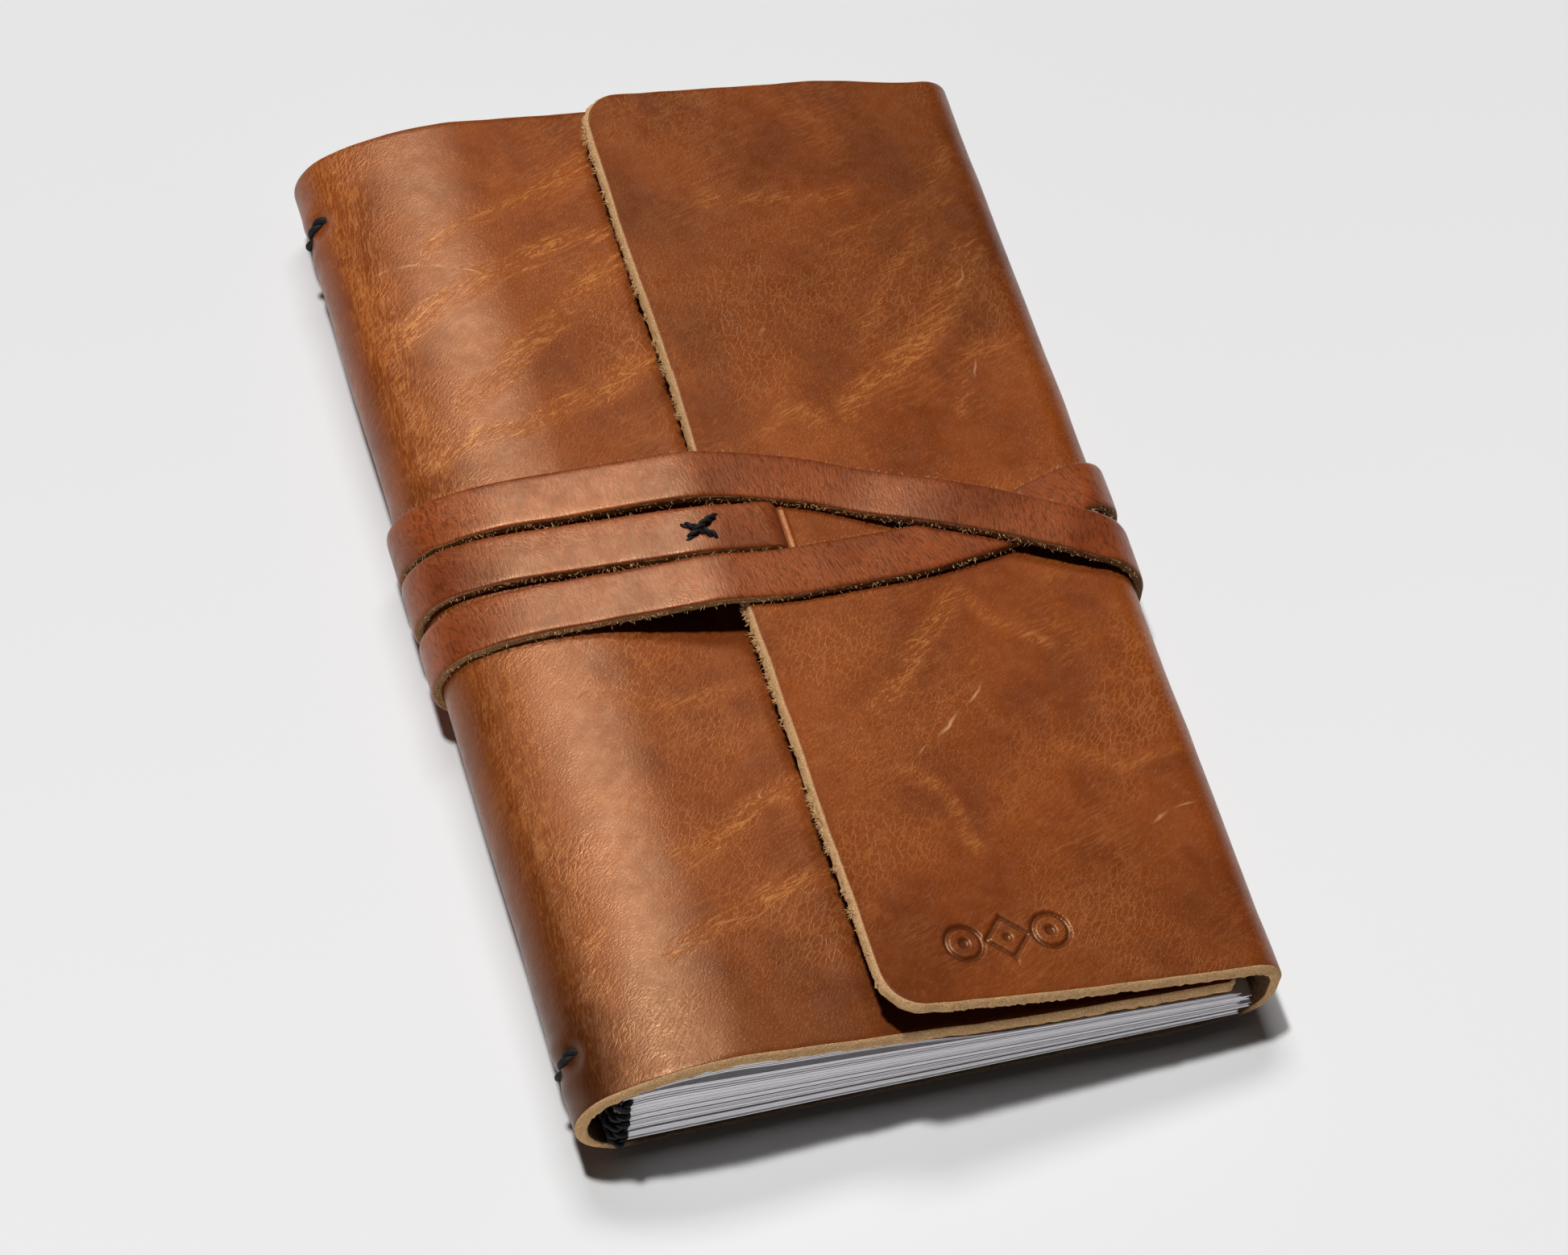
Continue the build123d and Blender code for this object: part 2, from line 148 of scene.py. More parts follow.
FLAP_CREASES = (
    (4.5, 1.0, (22, 26), (40, 38), (50, 49), (58, 62)),
    (3.2, 0.6, (31, 43), (48, 68), (60, 86)),
    (3.5, 0.6, (33, 68), (58, 74)),
    (3.5, 0.6, (8, 78), (37, 78)),
    (3.5, 0.8, (5, -45), (28, -21)),
    (3.0, 0.6, (8, -57), (14, -64), (16, -76)),
    (3.5, 0.6, (2, 20), (8, 26), (15, 24)),
    (3.0, 0.6, (30, -20), (36, -28), (44, -32)),
    (3.0, 0.5, (44, 22), (50, 36), (60, 40)),
    (2.6, 0.5, (40, -56), (52, -62), (62, -60)),
)
FLAP_SCRATCHES = (      # start, end, width
    ((5.0, 45.2), (7.6, 45.8), 0.35), ((7.6, 45.8), (10.1, 48.9), 0.45),
    ((9.2, -53.9), (13.5, -50.2), 0.3), ((14.5, -50.0), (21.0, -43.6), 0.5),
    ((21.5, -43.0), (27.5, -38.0), 0.35),
    ((49.3, -73.4), (55.0, -70.4), 0.4), ((55.0, -70.4), (61.0, -69.4), 0.3),
    ((46.6, 31.0), (49.8, 37.5), 0.3), ((50.0, 52.0), (54.0, 60.0), 0.25),
)
FRONT_SCRATCHES = (
    ((-62.0, 78.4), (-57.0, 78.2), 0.3), ((-57.0, 78.2), (-51.0, 77.2), 0.35),
    ((-51.0, 77.2), (-46.0, 74.6), 0.35), ((-46.0, 74.6), (-40.0, 71.0), 0.3),
)

# Cords
CORD = 1.7
CROSS_CORD = 1.3
SPINE_CORD = 2.2
STITCH_HEAD_Y = 94.5
STITCH_FOOT_Y = -97.3
STITCH_LOW = 192.0          # the spine's stitch holes, as angles round its centre
STITCH_HIGH = 143.0
STITCH_LEAN = 0.9
CORD_STAND = (1.2, 1.9, 2.3, 1.9, 1.2)      # how far each fold's cord stands off its pages
CROSS_ARMS = (((-18.7, 1.5), (-12.7, -2.8), 0.0), ((-18.6, -2.1), (-11.8, 2.3), 0.55))
CROSS_RISE = (              # share of an arm's length, and height over the strap
    (-0.03, -2.2), (0.0, -0.7), (0.14, 0.2), (0.5, 0.38), (0.86, 0.2), (1.0, -0.7), (1.03, -2.2),
)

# Ornament pressed into the flap
ORNAMENT_X, ORNAMENT_Y = 16.0, -95.5
ORNAMENT_TILT = radians(3.0)
ORNAMENT_PITCH = 8.8
ORNAMENT_REACH = 15.0
ORNAMENT_DEPTH = 0.5

# Pages
SIGNATURES = 5
SHEETS = 4
LEAVES = 6
PAGE_FILL = 0.84            # a page's thickness over its share of the height
LEAF_FILL = 0.86
PAGE_TOP = (
    (-59, 20.2), (-57, 20.9), (-54, 21.3), (-48, 21.2), (-33, 19.9), (-10, 18.0),
    (20, 15.4), (57, 12.8), (63, 12.4),
)
LEAVES_THICK = (
    (-58, 0.5), (-52, 1.7), (-44, 2.4), (-30, 2.5), (-10, 1.2), (5, 0.45), (14, 0.28), (63, 0.28),
)
PAGE_EDGES_X = (60.2, 62.2, 59.8, 61.6, 59.4)


# Noise, easing and lines. The last number of a noise is its seed.

def smooth(value, low, high):
    """0 before low, 1 after high, eased between."""
    t = np.clip((np.asarray(value, float) - low) / (high - low), 0.0, 1.0)
    return t * t * (3 - 2 * t)


def noise(u, v, size, seed):
    """Smooth noise from -1 to 1 over a plane, with features of about that size."""
    table = np.random.default_rng(seed).uniform(-1, 1, (256, 256))
    a = np.asarray(u, float) / size + 50.0
    b = np.asarray(v, float) / size + 50.0
    i, j = np.floor(a).astype(int), np.floor(b).astype(int)
    fa, fb = a - i, b - j
    fa, fb = fa * fa * (3 - 2 * fa), fb * fb * (3 - 2 * fb)
    i, j = i % 255, j % 255
    low = table[i, j] * (1 - fa) + table[i + 1, j] * fa
    high = table[i, j + 1] * (1 - fa) + table[i + 1, j + 1] * fa
    return low * (1 - fb) + high * fb


def unit(vectors):
    """The vectors, one to a row, with length 1."""
    return vectors / np.linalg.norm(vectors, axis=1)[:, None]


class Line:
    """A line in the XZ plane with a heading, read by the distance along it."""

    def __init__(self, x, z, heading):
        self.x, self.z, self.heading = x, z, heading
        self.s = np.concatenate([[0.0], np.cumsum(np.hypot(np.diff(x), np.diff(z)))])
        self.length = self.s[-1]

    def place(self, s, left):
        """Points at distances s, shifted to the left."""
        h = np.interp(s, self.s, self.heading)
        x = np.interp(s, self.s, self.x) - np.sin(h) * left
        z = np.interp(s, self.s, self.z) + np.cos(h) * left
        return x, z

    def reverse(self):
        return Line(self.x[::-1], self.z[::-1], self.heading[::-1] + pi)

    def join(self, other):
        """This line and then another that starts at its end."""
        turn = round((self.heading[-1] - other.heading[0]) / (2 * pi)) * 2 * pi
        return Line(
            np.concatenate([self.x, other.x[1:]]),
            np.concatenate([self.z, other.z[1:]]),
            np.concatenate([self.heading, other.heading[1:] + turn]),
        )


def walk(start, heading, moves):
    """The line of ("go", length) and ("left" or "right", radius, degrees) moves."""
    x, z, h = [start[0]], [start[1]], [radians(heading)]
    for kind, size, *turn in moves:
        length = size * radians(turn[0]) if turn else size
        bend = {"go": 0.0, "left": 1.0, "right": -1.0}[kind] / size
        count = max(2, round(length / LINE_STEP))
        step = length / count
        for _ in range(count):
            middle = h[-1] + bend * step / 2
            x.append(x[-1] + step * cos(middle))
            z.append(z[-1] + step * sin(middle))
            h.append(h[-1] + bend * step)
    return Line(np.array(x), np.array(z), np.array(h))


def polar(centre, radius, angle):
    return (centre[0] + radius * cos(radians(angle)), centre[1] + radius * sin(radians(angle)))


# The leather sheet's outer line, from the front's free edge round the spine, along the
# back, up the fold and over the flap

def sheet_line():
    start = (SPINE_CENTRE[0], BACK_Z)
    front = walk(start, 180, [
        ("right", SPINE_RADIUS, 180 - SHOULDER_HEADING),
        ("right", SHOULDER_RADIUS, SHOULDER_HEADING - FRONT_HEADING),
        ("left", FRONT_RADIUS, FRONT_END_HEADING - FRONT_HEADING),
    ])
    rest = walk(start, 0, [
        ("go", RIGHT - FOLD_RADIUS - SPINE_CENTRE[0]),
        ("left", FOLD_RADIUS, 90),
        ("go", FOLD_WALL),
        ("left", FOLD_RADIUS, 90 - FLAP_RISE),
        ("go", FLAP_LENGTH),
    ])
    return front.reverse().join(rest), front.length


SHEET, S_BOTTOM = sheet_line()      # S_BOTTOM is where the spine meets the back
FRONT_POINTS = int(np.argmin(SHEET.x))
S_SEAM = S_BOTTOM + SEAM_X - SPINE_CENTRE[0]
S_FOLD = S_BOTTOM + RIGHT - FOLD_RADIUS - SPINE_CENTRE[0]
S_WALL = S_FOLD + FOLD_RADIUS * pi / 2 + FOLD_WALL / 2
S_FLAP = S_FOLD + FOLD_RADIUS * radians(180 - FLAP_RISE) + FOLD_WALL
S_END = SHEET.length
FLAP_HEADING = 180.0 - FLAP_RISE
FLAP_START = polar((RIGHT - FOLD_RADIUS, BACK_Z + FOLD_RADIUS + FOLD_WALL), FOLD_RADIUS, 90 - FLAP_RISE)


def spine_s(angle):
    """Distance along the sheet of a place on the spine, by its angle."""
    return S_BOTTOM - SPINE_RADIUS * radians(270 - angle)


def flap_s(x):
    return S_FLAP + (FLAP_START[0] - x) / FLAP_SLOPE


def front_s(x):
    """Distance along the sheet of a place on the front cover."""
    return np.interp(-x, -SHEET.x[:FRONT_POINTS], SHEET.s[:FRONT_POINTS])


def ring_stroke(a, b, radius, width):
    """1 on a circle's stroke, 0 off it."""
    return 1 - smooth(np.abs(np.hypot(a, b) - radius), width / 2 - 0.15, width / 2 + 0.2)


def diamond_stroke(a, b, reach, width):
    return 1 - smooth(np.abs(np.abs(a) + np.abs(b) - reach), width / 2 - 0.15, width / 2 + 0.25)


def ornament(u, y):
    """Two rings and a diamond between them, pressed into the flap near its foot."""
    across = flap_s(ORNAMENT_X) - u
    along = y - ORNAMENT_Y
    a = across * cos(ORNAMENT_TILT) + along * sin(ORNAMENT_TILT)
    b = along * cos(ORNAMENT_TILT) - across * sin(ORNAMENT_TILT)
    mark = diamond_stroke(a, b, 4.3, 1.1)
    mark = np.maximum(mark, 1 - smooth(np.hypot(a, b), 0.7, 1.1))
    for side in (-ORNAMENT_PITCH, ORNAMENT_PITCH):
        mark = np.maximum(mark, ring_stroke(a - side, b, 3.5, 0.95))
        mark = np.maximum(mark, 1 - smooth(np.hypot(a - side, b), 0.9, 1.3))
    return mark


def puckers(u, y):
    """Dents of the spine's stitch holes and the swell between them."""
    dent = 0.0
    for hole_y in (STITCH_HEAD_Y, STITCH_FOOT_Y):
        for angle in (STITCH_LOW, STITCH_HIGH):
            r2 = ((u - spine_s(angle)) / 1.9) ** 2 + ((y - hole_y) / 2.6) ** 2
            dent = dent - 1.0 * np.exp(-r2)
        middle = spine_s((STITCH_LOW + STITCH_HIGH) / 2)
        for side in (-4.2, 4.2):
            r2 = ((u - middle) / 5.0) ** 2 + ((y - hole_y - side) / 2.2) ** 2
            dent = dent + 0.35 * np.exp(-r2)
    return dent


def slit_lip(u, y):
    """The raised lip of the flap's slit, just beyond the strap's fold."""
    across = 1 - smooth(np.abs(u - flap_s(2.0)), 0.1, 0.5)
    along = 1 - smooth(np.abs(y + 0.8), 5.4, 6.4)
    return 0.25 * across * along


def sheet_rise(u, y):
    """How far the sheet stands off its plain line, outwards."""
    rise = 0.22 * noise(u, y, 34, 3) + 0.10 * noise(u, y, 13, 4) + 0.03 * noise(u, y, 4.5, 5)
    t = np.clip((u - S_FLAP + 4) / (FLAP_LENGTH + 4), 0, 1)
    t = t * t * (1.6 - 0.6 * t)
    rise = rise + FLAP_LIFT_FOOT * t * smooth(-y, 22, 105) - FLAP_DROP_HEAD * t * smooth(y, 22, 100)
    rise = rise - 0.35 * t * smooth(24 - np.abs(y), 0, 18)
    return rise + puckers(u, y) + slit_lip(u, y)


def sheet_place(u, y, depth):
    """Point of the bent sheet at (u, y) on the flat one, depth inwards."""
    wave_u = 0.25 * noise(y, 0 * y, 17, 6) + 0.1 * noise(y, 0 * y, 5, 7)
    u = u + wave_u * smooth(u, S_END - 14, S_END - 3)
    edge = smooth(np.abs(y), 98, 107)
    y = y + edge * (0.25 * noise(u, 0 * u, 23, 8) + 0.08 * noise(u, 0 * u, 4, 9))
    pressed = ORNAMENT_DEPTH * ornament(u, y) * (1 - smooth(depth, 0.2, 1.8))
    x, z = SHEET.place(u, depth + pressed - sheet_rise(u, y))
    return np.stack([x, y, z], -1)


# Meshes

def new_object(name, points, faces, slots=None, materials=(), attributes=None, smooth_faces=True):
    """A mesh object from millimetre points, with a material index for each face."""
    mesh = bpy.data.meshes.new(name)
    mesh.from_pydata((np.asarray(points) * MM).tolist(), [], faces)
    for material in materials:
        mesh.materials.append(material)
    if slots is not None:
        mesh.polygons.foreach_set("material_index", np.asarray(slots, np.int32))
    mesh.polygons.foreach_set("use_smooth", np.full(len(mesh.polygons), smooth_faces))
    for key, values in (attributes or {}).items():
        values = np.asarray(values, np.float32)
        kind = "FLOAT_VECTOR" if values.ndim == 2 else "FLOAT"
        layer = mesh.attributes.new(key, kind, "POINT")
        layer.data.foreach_set("vector" if values.ndim == 2 else "value", values.ravel())
    mesh.update()
    obj = bpy.data.objects.new(name, mesh)
    bpy.context.scene.collection.objects.link(obj)
    return obj


def spaced(first, last, pitch, fine=None):
    """Places from first to last, closer together in the fine stretch (a, b, pitch)."""
    marks = [(first, last, pitch)]
    if fine:
        marks = [(first, fine[0], pitch), fine, (fine[1], last, pitch)]
    parts = [np.linspace(a, b, max(1, round((b - a) / gap)), endpoint=False) for a, b, gap in marks]
    return np.concatenate(parts + [[last]])


def sheet_rows(start, end, corners, fine):
    """Anchor, sine, cosine and corner radius of every row across the sheet. An end with a
    corner radius closes round that corner, and an end with none is a cut between pieces."""
    first = start + (corners[0] or 0.0)
    last = end - (corners[1] or 0.0)
    rows = [(a, 0.0, 1.0, 0.0) for a in spaced(first, last, 1.0, fine)]
    turns = np.radians(np.linspace(0, 90, 15))[1:]
    if corners[0]:
        rows = [(first, -sin(t), cos(t), corners[0]) for t in turns[::-1]] + rows
    if corners[1]:
        rows = rows + [(last, sin(t), cos(t), corners[1]) for t in turns]
    return np.array(rows)


def sheet_grid(rows, shares, inset):
    """Flat (u, y) of the grid when its outline is drawn in by inset."""
    anchor, sine, cosine, radius = (rows[:, k, None] for k in range(4))
    reach = np.maximum(radius - inset, 0)
    u = anchor + sine * reach + 0 * shares
    tuck = inset + (1 - cosine) * reach
    trim = smooth(u, S_FOLD - 12, S_FOLD + 8)
    dip = FOLD_HEAD_DIP * smooth(u, S_FOLD - 8, S_FOLD + 10) * (1 - smooth(u, S_FLAP, S_FLAP + 24))
    low = FOOT + FLAP_FOOT_TRIM * trim + tuck
    dip = dip + FRONT_HEAD_DIP * (1 - smooth(u, 0, 24))
    high = HEAD - FLAP_HEAD_TRIM * trim - dip - tuck
    return u, low + (high - low) * shares


def boundary(nu, nv, corners):
    """Grid indices round the free sides, as open or closed chains."""
    cell = np.arange(nu * nv).reshape(nu, nv)
    low, high = cell[:, 0], cell[::-1, -1]
    if corners[1]:
        return [np.concatenate([low, cell[-1, 1:-1], high])]
    if corners[0]:
        return [np.concatenate([high, cell[0, -2:0:-1], low])]
    return [low, high]


def sheet_shares(fine_y):
    """Places across the sheet, from 0 at the foot to 1 at the head."""
    span = HEAD - FOOT
    fine = fine_y and ((fine_y[0] - FOOT) / span, (fine_y[1] - FOOT) / span, 0.3 / span)
    return spaced(0.0, 1.0, 1.0 / span, fine)[None, :]


def edge_ring(rows, shares, chain, inset, depth):
    """Flat places of one line along a cut edge, uneven where the fibres are open."""
    u, y = (part.ravel()[chain] for part in sheet_grid(rows, shares, inset))
    inner_u, inner_y = (part.ravel()[chain] for part in sheet_grid(rows, shares, inset + 1.0))
    rough = smooth(depth, 0.3, 1.0) * 0.24
    jitter = rough * (noise(u * 1.7 + y, y - depth * 3, 0.7, 21) + 0.6 * noise(u + y, y, 0.35, 22))
    return np.stack([u + (u - inner_u) * jitter, y + (y - inner_y) * jitter, depth + 0 * u], -1)


def sheet_piece(name, start, end, corners, materials, fine_u=None, fine_y=None):
    """One closed piece of the leather sheet between two distances along it."""
    rows = sheet_rows(start, end, corners, fine_u)
    shares = sheet_shares(fine_y)
    cell = np.arange(len(rows) * shares.size).reshape(len(rows), shares.size)
    quads = np.stack([cell[:-1, :-1], cell[:-1, 1:], cell[1:, 1:], cell[1:, :-1]], -1).reshape(-1, 4)
    faces = quads.tolist() + (quads[:, ::-1] + cell.size).tolist()
    slots = [GRAIN_SIDE] * len(quads) + [FLESH_SIDE] * len(quads)
    flats = []
    for inset, depth in ((TOP_INSET, 0.0), (BASE_INSET, LEATHER)):
        u, y = sheet_grid(rows, shares, inset)
        flats.append(np.stack([u, y, np.full_like(y, depth)], -1).reshape(-1, 3))
    for chain in boundary(*cell.shape, corners):
        loops = [chain]
        for inset, depth in EDGE_RINGS:
            loops.append(sum(map(len, flats)) + np.arange(len(chain)))
            flats.append(edge_ring(rows, shares, chain, inset, depth))
        loops.append(chain + cell.size)
        for k, (a, b) in enumerate(zip(loops, loops[1:])):
            faces += np.stack([a[:-1], a[1:], b[1:], b[:-1]], -1).tolist()
            slots += [CUT_EDGE if k else GRAIN_SIDE] * (len(chain) - 1)
    flat = np.concatenate(flats)
    marks = sheet_marks(flat, start, end, corners)
    obj = new_object(name, sheet_place(*flat.T), faces, slots, materials, marks)
    close_cuts(obj)
    return obj


def sheet_marks(flat, start, end, corners):
    """What the sheet's materials read at each of its points."""
    u, y, depth = flat.T
    edge = edge_distance(u, y, start, end, corners)
    return {
        "flat": flat * 0.1,
        "rim": 1 - smooth(edge, 0.4, 2.6),
        "press": ornament(u, y) * (depth < 0.1),
        "crease": crease_mask(u, y),
        # painted shade towards the foot and down the spine, with a darker colour at the head of the fold
        # and flap
        "shade_and_tone": cover_shade_and_tone(u, y),
        # painted shade: the back piece's cut edges are darkened as if in shadow
        "back_edge_shade": smooth(u, S_BOTTOM - 9, S_BOTTOM + 2) * (1 - smooth(u, S_FOLD, S_FOLD + 7)),
    }


def segment_distance(u, y, start, end):
    """Distance from the segment between two places."""
    du, dy = end[0] - start[0], end[1] - start[1]
    share = np.clip(((u - start[0]) * du + (y - start[1]) * dy) / (du * du + dy * dy), 0, 1)
    return np.hypot(u - start[0] - share * du, y - start[1] - share * dy)


def crease_mask(u, y):
    """1 along the hide's drawn creases, fading to both sides and towards their ends."""
    drift_u = u + 1.6 * noise(u, y, 9, 51)
    drift_y = y + 1.6 * noise(u, y, 9, 52)
    mask = np.zeros_like(u)
    for place, creases in ((front_s, FRONT_CREASES), (flap_s, FLAP_CREASES)):
        for width, strength, *stops in creases:
            stops = [(place(x), stop_y) for x, stop_y in stops]
            for start, end in zip(stops, stops[1:]):
                gap = segment_distance(drift_u, drift_y, start, end)
                mask = np.maximum(mask, strength * (1 - smooth(gap, 0, 1.2 * width)))
    return mask


def cover_shade_and_tone(u, y):
    """How much the hide darkens: painted shade towards the foot and down the lower spine, and a darker
    colour over the fold and the flap towards the head.
    """
    foot = (0.34 - 0.12 * smooth(u, S_FOLD, S_FLAP)) * smooth(-y, 60, 108)
    spine = 0.50 * smooth(u, front_s(-55), spine_s(130)) * (1 - smooth(u, spine_s(215), spine_s(250)))
    head = 0.42 - 0.22 * smooth(u, S_FLAP + 5, S_FLAP + 30)
    head = head * smooth(u, S_FOLD, S_FLAP) * smooth(y, 15, 60)
    return foot + head + spine * smooth(-y, -90, 100)


def edge_distance(u, y, start, end, corners):
    """Distance from the nearest free edge, roughly."""
    near = np.minimum(y - FOOT, HEAD - y)
    if corners[0]:
        near = np.minimum(near, u - start)
    if corners[1]:
        near = np.minimum(near, end - u)
    return near


def close_cuts(obj):
    """Faces over the open ends, on vertices of their own so that shading stays smooth."""
    bm = bmesh.new()
    bm.from_mesh(obj.data)
    open_edges = [e for e in bm.edges if e.is_boundary]
    if open_edges:
        old = {v for e in open_edges for v in e.verts}
        copies = {v: bm.verts.new(v.co, v) for v in old}
        edges = [bm.edges.new((copies[e.verts[0]], copies[e.verts[1]])) for e in open_edges]
        made = bmesh.ops.triangle_fill(bm, edges=edges, use_beauty=False)
        for face in made["geom"]:
            if isinstance(face, bmesh.types.BMFace):
                face.material_index = CUT_EDGE
    bmesh.ops.recalc_face_normals(bm, faces=bm.faces)
    bm.to_mesh(obj.data)
    bm.free()


# Strap

def flap_point(x):
    distance = (FLAP_START[0] - x) / FLAP_SLOPE
    return polar(FLAP_START, distance, FLAP_HEADING)


FLAP_EDGE_X = FLAP_START[0] - FLAP_LENGTH * FLAP_SLOPE


def bridge():
    """Moves from the flap's free edge, over the gap and round the spine."""
    turn = polar(flap_point(FLAP_EDGE_X), BRIDGE_RADIUS, FLAP_HEADING + 90)
    shoulder = polar(SPINE_CENTRE, SPINE_RADIUS - SHOULDER_RADIUS, 90 + SHOULDER_HEADING)
    gap = hypot(turn[0] - shoulder[0], turn[1] - shoulder[1])
    line = degrees(atan2(turn[1] - shoulder[1], turn[0] - shoulder[0]))
    spread = degrees(asin((SHOULDER_RADIUS - BRIDGE_RADIUS) / gap))
    slope = line - spread
    return [
        ("left", BRIDGE_RADIUS, FLAP_RISE + slope),
        ("go", gap * cos(radians(spread))),
        ("left", SHOULDER_RADIUS, SHOULDER_HEADING - slope),
        ("left", SPINE_RADIUS, 180 - SHOULDER_HEADING),
        ("go", BEND_TAIL_X - SPINE_CENTRE[0]),
    ]


def front_run_line():
    """From half-way up the fore edge, over the flap and round the spine."""
    start = (RIGHT, BACK_Z + FOLD_RADIUS + FOLD_WALL / 2)
    moves = [("go", FOLD_WALL / 2), ("left", FOLD_RADIUS, 90 - FLAP_RISE), ("go", FLAP_LENGTH)]
    return walk(start, 90, moves + bridge())


def anchor_run_line():
    """From under the flap, round through its slit and back over it."""
    turn = polar(flap_point(ANCHOR_TURN_X), LEATHER, FLAP_HEADING + 90)
    start = polar(turn, ANCHOR_TAIL, FLAP_HEADING)
    top = (ANCHOR_TURN_X - FLAP_EDGE_X) / FLAP_SLOPE
    moves = [("go", ANCHOR_TAIL), ("left", LEATHER / 2, 180), ("go", top)]
    return walk(start, -FLAP_RISE, moves + bridge())


def route(line, stops, first_y, tail_y, skip=0.0):
    """Sideways place along a run: its start's y, stops (x, y) on the front, the tail's y."""
    left = np.argmin(line.x)
    front = line.s > skip
    front[left:] = False
    s = [np.interp(-x, -line.x[front], line.s[front]) for x, _ in stops]
    s = [0.0, *s, line.length - 12.0, line.length]
    y = [first_y, *(v for _, v in stops), tail_y, tail_y]
    return eased(np.interp(line.s, s, y), 45)


def eased(values, reach):
    """Values along a line with their corners rounded over that many of its steps."""
    window = np.hanning(2 * reach + 1)
    return np.convolve(np.pad(values, reach, mode="edge"), window / window.sum(), "valid")


def strap_profile():
    """Closed cross-section of the strap: (across, up, material slot) round its outline."""
    half = STRAP_WIDTH / 2
    side = [(half - 0.25, 0.0, 1), (half, 0.22, 1), (half + 0.03, 0.6, 1), (half + 0.03, 1.0, 1),
            (half, 1.4, 1), (half - 0.08, 1.68, 0), (half - 0.28, 1.88, 0), (half - 0.6, 1.96, 0)]
    top = [(a, STRAP + 0.06 * (1 - (a / half) ** 2), 0) for a in np.linspace(half - 1.1, 1.1 - half, 13)]
    other = [(-a, b, m) for a, b, m in side[::-1]]
    other = [(a, b, m) for (a, b, _), m in zip(other, (0, 0, 1, 1, 1, 1, 1, 2))]
    under = [(a, 0.0, 2) for a in np.linspace(1.0 - half, half - 1.0, 7)]
    return side + top + other + under


def edge_hair(centre, across, up, seed, base):
    """Loose fibres along both cut edges of a strap."""
    rng = np.random.default_rng(seed + 500)
    points, faces = [], []
    count = 4 * len(centre)
    for row, side, height in zip(rng.integers(2, len(centre) - 2, count), rng.choice([-1, 1], count),
                                 rng.uniform(0.1, 1.5, count)):
        root = centre[row] + across[row] * side * (STRAP_WIDTH / 2 - 0.05) + up[row] * height
        root = root + (centre[row + 1] - centre[row]) * rng.uniform(-0.5, 0.5)
        add_fibre(points, faces, root, across[row] * side, centre[row + 1] - centre[row], rng)
    faces = [tuple(base + i for i in face) for face in faces]
    return np.array(points), faces


def strap_frame(line, y, s, height):
    """Middle of the strap's underside, and its directions along, across and up."""
    x, z = line.place(s, -height)
    centre = np.stack([x, np.interp(s, line.s, y), z], -1)
    along = unit(np.gradient(centre, axis=0))
    h = np.interp(s, line.s, line.heading)
    across = unit(np.cross(np.stack([np.sin(h), 0 * h, -np.cos(h)], -1), along))
    return centre, across, np.cross(along, across)


def strap_sides(s, seed):
    """Across and up of each line along the strap, with the waver of its cut edges."""
    places = []
    for k, (a, b, _) in enumerate(strap_profile()):
        side = np.sign(a) * smooth(abs(a), 4.6, 5.2)
        wave = 0.10 * noise(s, 0 * s + np.sign(a) * 9, 11, seed) + 0.05 * noise(s, 0 * s, 2.5, seed + 1)
        fuzz = 0.14 * noise(s, 0 * s + k * 3, 0.8, seed + 2) * (0.1 < b < 1.5)
        swell = 0.05 * noise(s, 0 * s + a, 6, seed + 3) * (b > 1.9)
        places.append((a + side * (wave + fuzz), b + swell))
    return places


def strap_piece(name, line, y, lift, seed, materials, length=None):
    """A stretch of strap on the right-hand side of a line, from the line's start."""
    length = length or line.length
    s = np.linspace(0, length, max(4, round(length / STRAP_STEP)))
    centre, across, up = strap_frame(line, y, s, STRAP_GAP + lift(s))
    rings = [centre + across * a[:, None] + up * b[:, None] for a, b in strap_sides(s, seed)]
    profile = strap_profile()
    flats = [np.stack([s + seed * 40, a + 0 * s, b + 0 * s], -1) for a, b, _ in profile]
    rows, size = len(s), len(profile)
    cell = np.arange(rows * size).reshape(rows, size)
    turned = np.roll(cell, -1, axis=1)
    quads = np.stack([cell[:-1], turned[:-1], turned[1:], cell[1:]], -1).reshape(-1, 4)
    hair, hair_faces = edge_hair(centre, across, up, seed, rows * size)
    points = np.concatenate([np.stack(rings, 1).reshape(-1, 3), hair])
    flat = np.concatenate([np.stack(flats, 1).reshape(-1, 3), np.zeros_like(hair)])
    slots = [m for _, _, m in profile] * (rows - 1) + [HAIR] * len(hair_faces)
    rim = [smooth(abs(a), 4.2, 5.2) if b > 1.5 else 0.0 for a, b, _ in profile]
    marks = {"flat": flat * 0.1, "rim": np.concatenate([np.tile(rim, rows), np.zeros(len(hair))])}
    marks.update({key: np.zeros(len(points)) for key in ("press", "crease", "shade_and_tone", "back_edge_shade")})
    obj = new_object(name, points, quads.tolist() + hair_faces, slots, materials, marks)
    close_cuts(obj)
    return obj


# Cords

def curve_through(stops):
    """Even points on a smooth line through the stops, whatever their spacing."""
    stops = np.asarray(stops, float)
    t = np.concatenate([[0], np.cumsum(np.linalg.norm(np.diff(stops, axis=0), axis=1))])
    slope = np.gradient(stops, t, axis=0)
    even = np.linspace(0, t[-1], max(4, round(t[-1] / CORD_STEP)))
    k = np.clip(np.searchsorted(t, even, side="right") - 1, 0, len(t) - 2)
    span = (t[k + 1] - t[k])[:, None]
    f = (even - t[k])[:, None] / span
    line = (
        (2 * f ** 3 - 3 * f ** 2 + 1) * stops[k] + (f ** 3 - 2 * f ** 2 + f) * span * slope[k]
        + (3 * f ** 2 - 2 * f ** 3) * stops[k + 1] + (f ** 3 - f ** 2) * span * slope[k + 1]
    )
    return line, even


